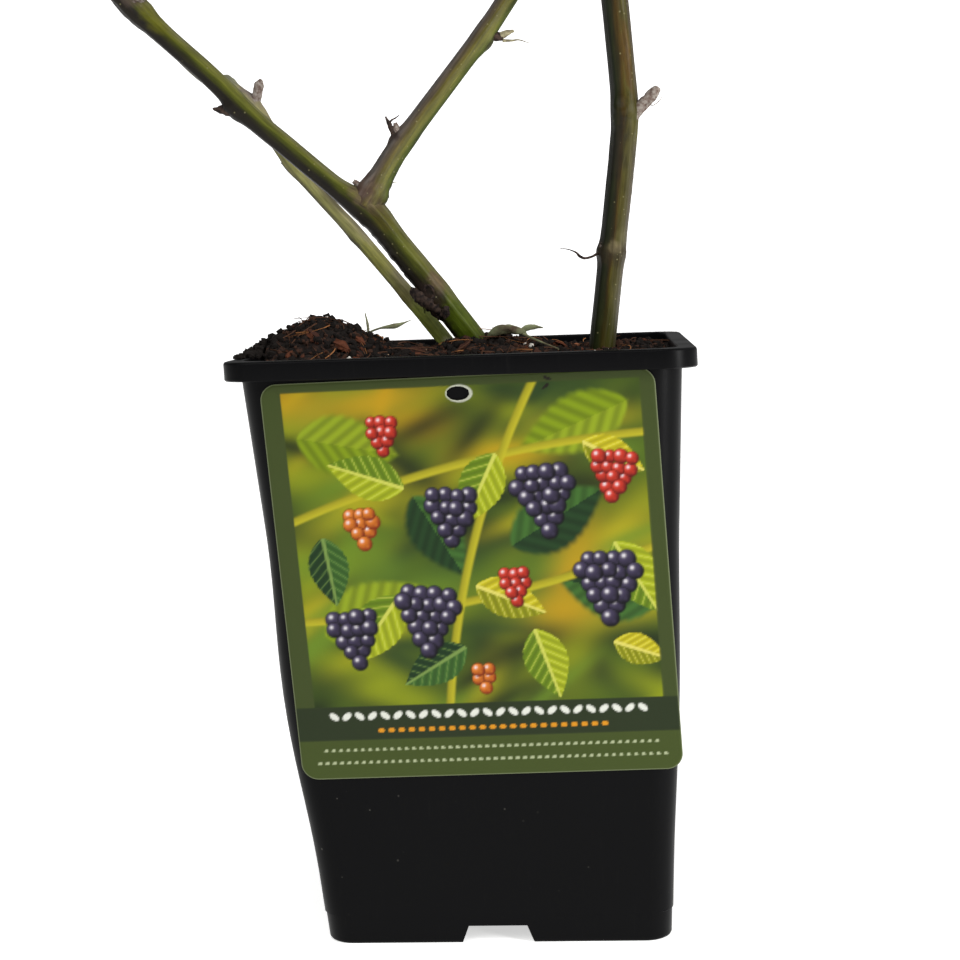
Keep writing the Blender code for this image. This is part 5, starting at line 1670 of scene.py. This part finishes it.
def twig_bark(name, code):
    """Young bark: thin and half glossy, in one plain colour, with a fine uneven grain."""
    material, tree, shader = new_finish(name, code, 0.5, 0.2)
    place = add(tree, "TexCoord").outputs["Object"]
    grain = add(tree, "TexNoise", values={"Scale": 1 / 0.0012, "Detail": 3}, links={"Vector": place}).outputs["Fac"]
    bump = add(tree, "Bump", values={"Strength": 0.4, "Distance": 0.0002}, links={"Height": grain})
    tree.links.new(bump.outputs["Normal"], shader.inputs["Normal"])
    return material


def bud_shape(length, width):
    """A pointed oval bud from a ball: round at its root, drawn out to its tip."""
    def reshape(points):
        along = (points[:, 2] + 1) / 2
        shaped = points * width / 2 * (1.15 - 0.75 * along[:, None] ** 1.5)
        shaped[:, 2] = along * length
        return shaped
    return reshape


BARK_CODES = {"twigs_left": "#4a4d16", "twigs_left_fork": "#57512a", "twigs_rear": "#5f6034", "twigs_right": "#3c4214"}
TWIG_BUD = (4.0 * MM, 1.9 * MM)
FINE_BUD = (2.6 * MM, 1.2 * MM)
leaders = []
rngs = []
for name, limb, foot_radius, tip_radius, seed, turn in MASSES:
    rng = random.Random(seed)
    point, way, _ = limb.tip()
    leaders.append(run_of_nodes(point + way * CAD_GAP, way, tip_radius, 0, rng, math.radians(turn)))
    rngs.append(rng)
limb_lines = [(mass[1].nodes, mass[2]) for mass in MASSES]
fine = []
bud_placings = []
for i, (mass, leader, rng) in enumerate(zip(MASSES, leaders, rngs)):
    own_line = leader.points()
    other_lines = [other.points() for other in leaders if other is not leader]
    stems = [leader]
    grown = [leader]
    for order in (1, 2):
        grown = grow_order(grown, order, rng, stems, own_line, other_lines, limb_lines)
    sprigs = [stem for stem in stems if stem.order]
    fine += grow_order(sprigs, 3, random.Random(100 + i), list(stems), own_line, other_lines, limb_lines)
    piece = twig_piece(mass[0] + "_stems", stems, twig_bark(mass[0].replace("_", " ") + " bark", BARK_CODES[mass[0]]))
    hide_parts(mass[0])
    for stem in stems + fine:
        size = FINE_BUD if stem.order == 3 else TWIG_BUD
        for k in range(1, len(stem.knots) - 1):
            point, radius = stem.knots[k]
            axis = stem.axis(k)
            out = side_of(axis, stem.sides[k] + math.pi)
            way = (axis + out * 0.9).normalized()
            stand = Matrix.Translation(point + out * radius * 0.6) @ way.to_track_quat("Z", "Y").to_matrix().to_4x4()
            bud_placings.append((stand, bud_shape(size[0] * 0.8, size[1])))
        if stem.order:
            point, radius = stem.knots[-1]
            way = stem.axis(-1)
            stand = (Matrix.Translation(point - way * (size[0] + 0.2 * MM))
                     @ way.to_track_quat("Z", "Y").to_matrix().to_4x4())
            bud_placings.append((stand, bud_shape(size[0], max(size[1], 2.4 * radius))))
twig_piece("fine_twigs", fine, twig_bark("purple brown twig bark", "#4e352b"))
bpy.ops.object.select_all(action="DESELECT")
bpy.ops.mesh.primitive_uv_sphere_add(segments=8, ring_count=6, radius=1)
bud_finish = dead_scales("twig bud scales", "#33211a", "#6a5648")
keep_in_box(join_copies("twig_buds", take_template(), bud_placings, bud_finish))

# Studio
# A plain pale floor under one broad soft light from above the camera's left, a weaker one from the
# right, a tall strip of light that draws the pot's right corner, and a plain white backdrop.
ROOM_LIGHT = 0.24
FLOOR_SIZE = 12
BACKDROP_REACH = 20
STRIP_PLACE = Vector((0.75, -0.55, 0.35))


def studio_white(name, code, glow=0.0):
    """Matt white paint, or the evenly lit white cloth of a backdrop."""
    material, tree, shader = new_finish(name, code, 0.9, 0.0)
    shader.inputs["Emission Color"].default_value = linear(code) + [1]
    shader.inputs["Emission Strength"].default_value = glow
    return material


bpy.ops.object.select_all(action="DESELECT")
bpy.ops.mesh.primitive_plane_add(size=FLOOR_SIZE)
floor = bpy.context.object
floor.name = "studio_floor"
floor.data.materials.append(studio_white("matt white floor paint", "#fbfbfa", 0.6))
bpy.ops.mesh.primitive_uv_sphere_add(segments=64, ring_count=32, radius=BACKDROP_REACH)
backdrop = bpy.context.object
backdrop.name = "studio_backdrop"
backdrop.data.materials.append(studio_white("lit white cloth", "#ffffff", 1.0))
for way in ("diffuse", "glossy", "transmission", "shadow", "volume_scatter"):
    setattr(backdrop, "visible_" + way, False)

world = bpy.data.worlds.new("studio")
world.use_nodes = True
world.node_tree.nodes["Background"].inputs["Color"].default_value = (1, 1, 1, 1)
world.node_tree.nodes["Background"].inputs["Strength"].default_value = ROOM_LIGHT
bpy.context.scene.world = world
for name, place, strength, spread in (("key_light", (-0.5, -0.9, 1.2), 1.35, 50),
                                      ("fill_light", (0.9, -0.2, 1.0), 0.55, 60)):
    bpy.ops.object.light_add(type="SUN")
    lamp = bpy.context.object
    lamp.name = name
    lamp.data.energy = strength
    lamp.data.angle = math.radians(spread)
    lamp.rotation_euler = (-Vector(place)).to_track_quat("-Z", "Y").to_euler()
bpy.ops.object.light_add(type="AREA", location=STRIP_PLACE)
strip = bpy.context.object
strip.name = "strip_light"
strip.data.shape = "RECTANGLE"
strip.data.size = 0.15
strip.data.size_y = 0.7
strip.data.energy = 8
strip.visible_camera = False
strip.rotation_euler = (Vector((0, 0, 0.1)) - STRIP_PLACE).to_track_quat("-Z", "Y").to_euler()
bpy.context.scene.view_settings.view_transform = "Standard"
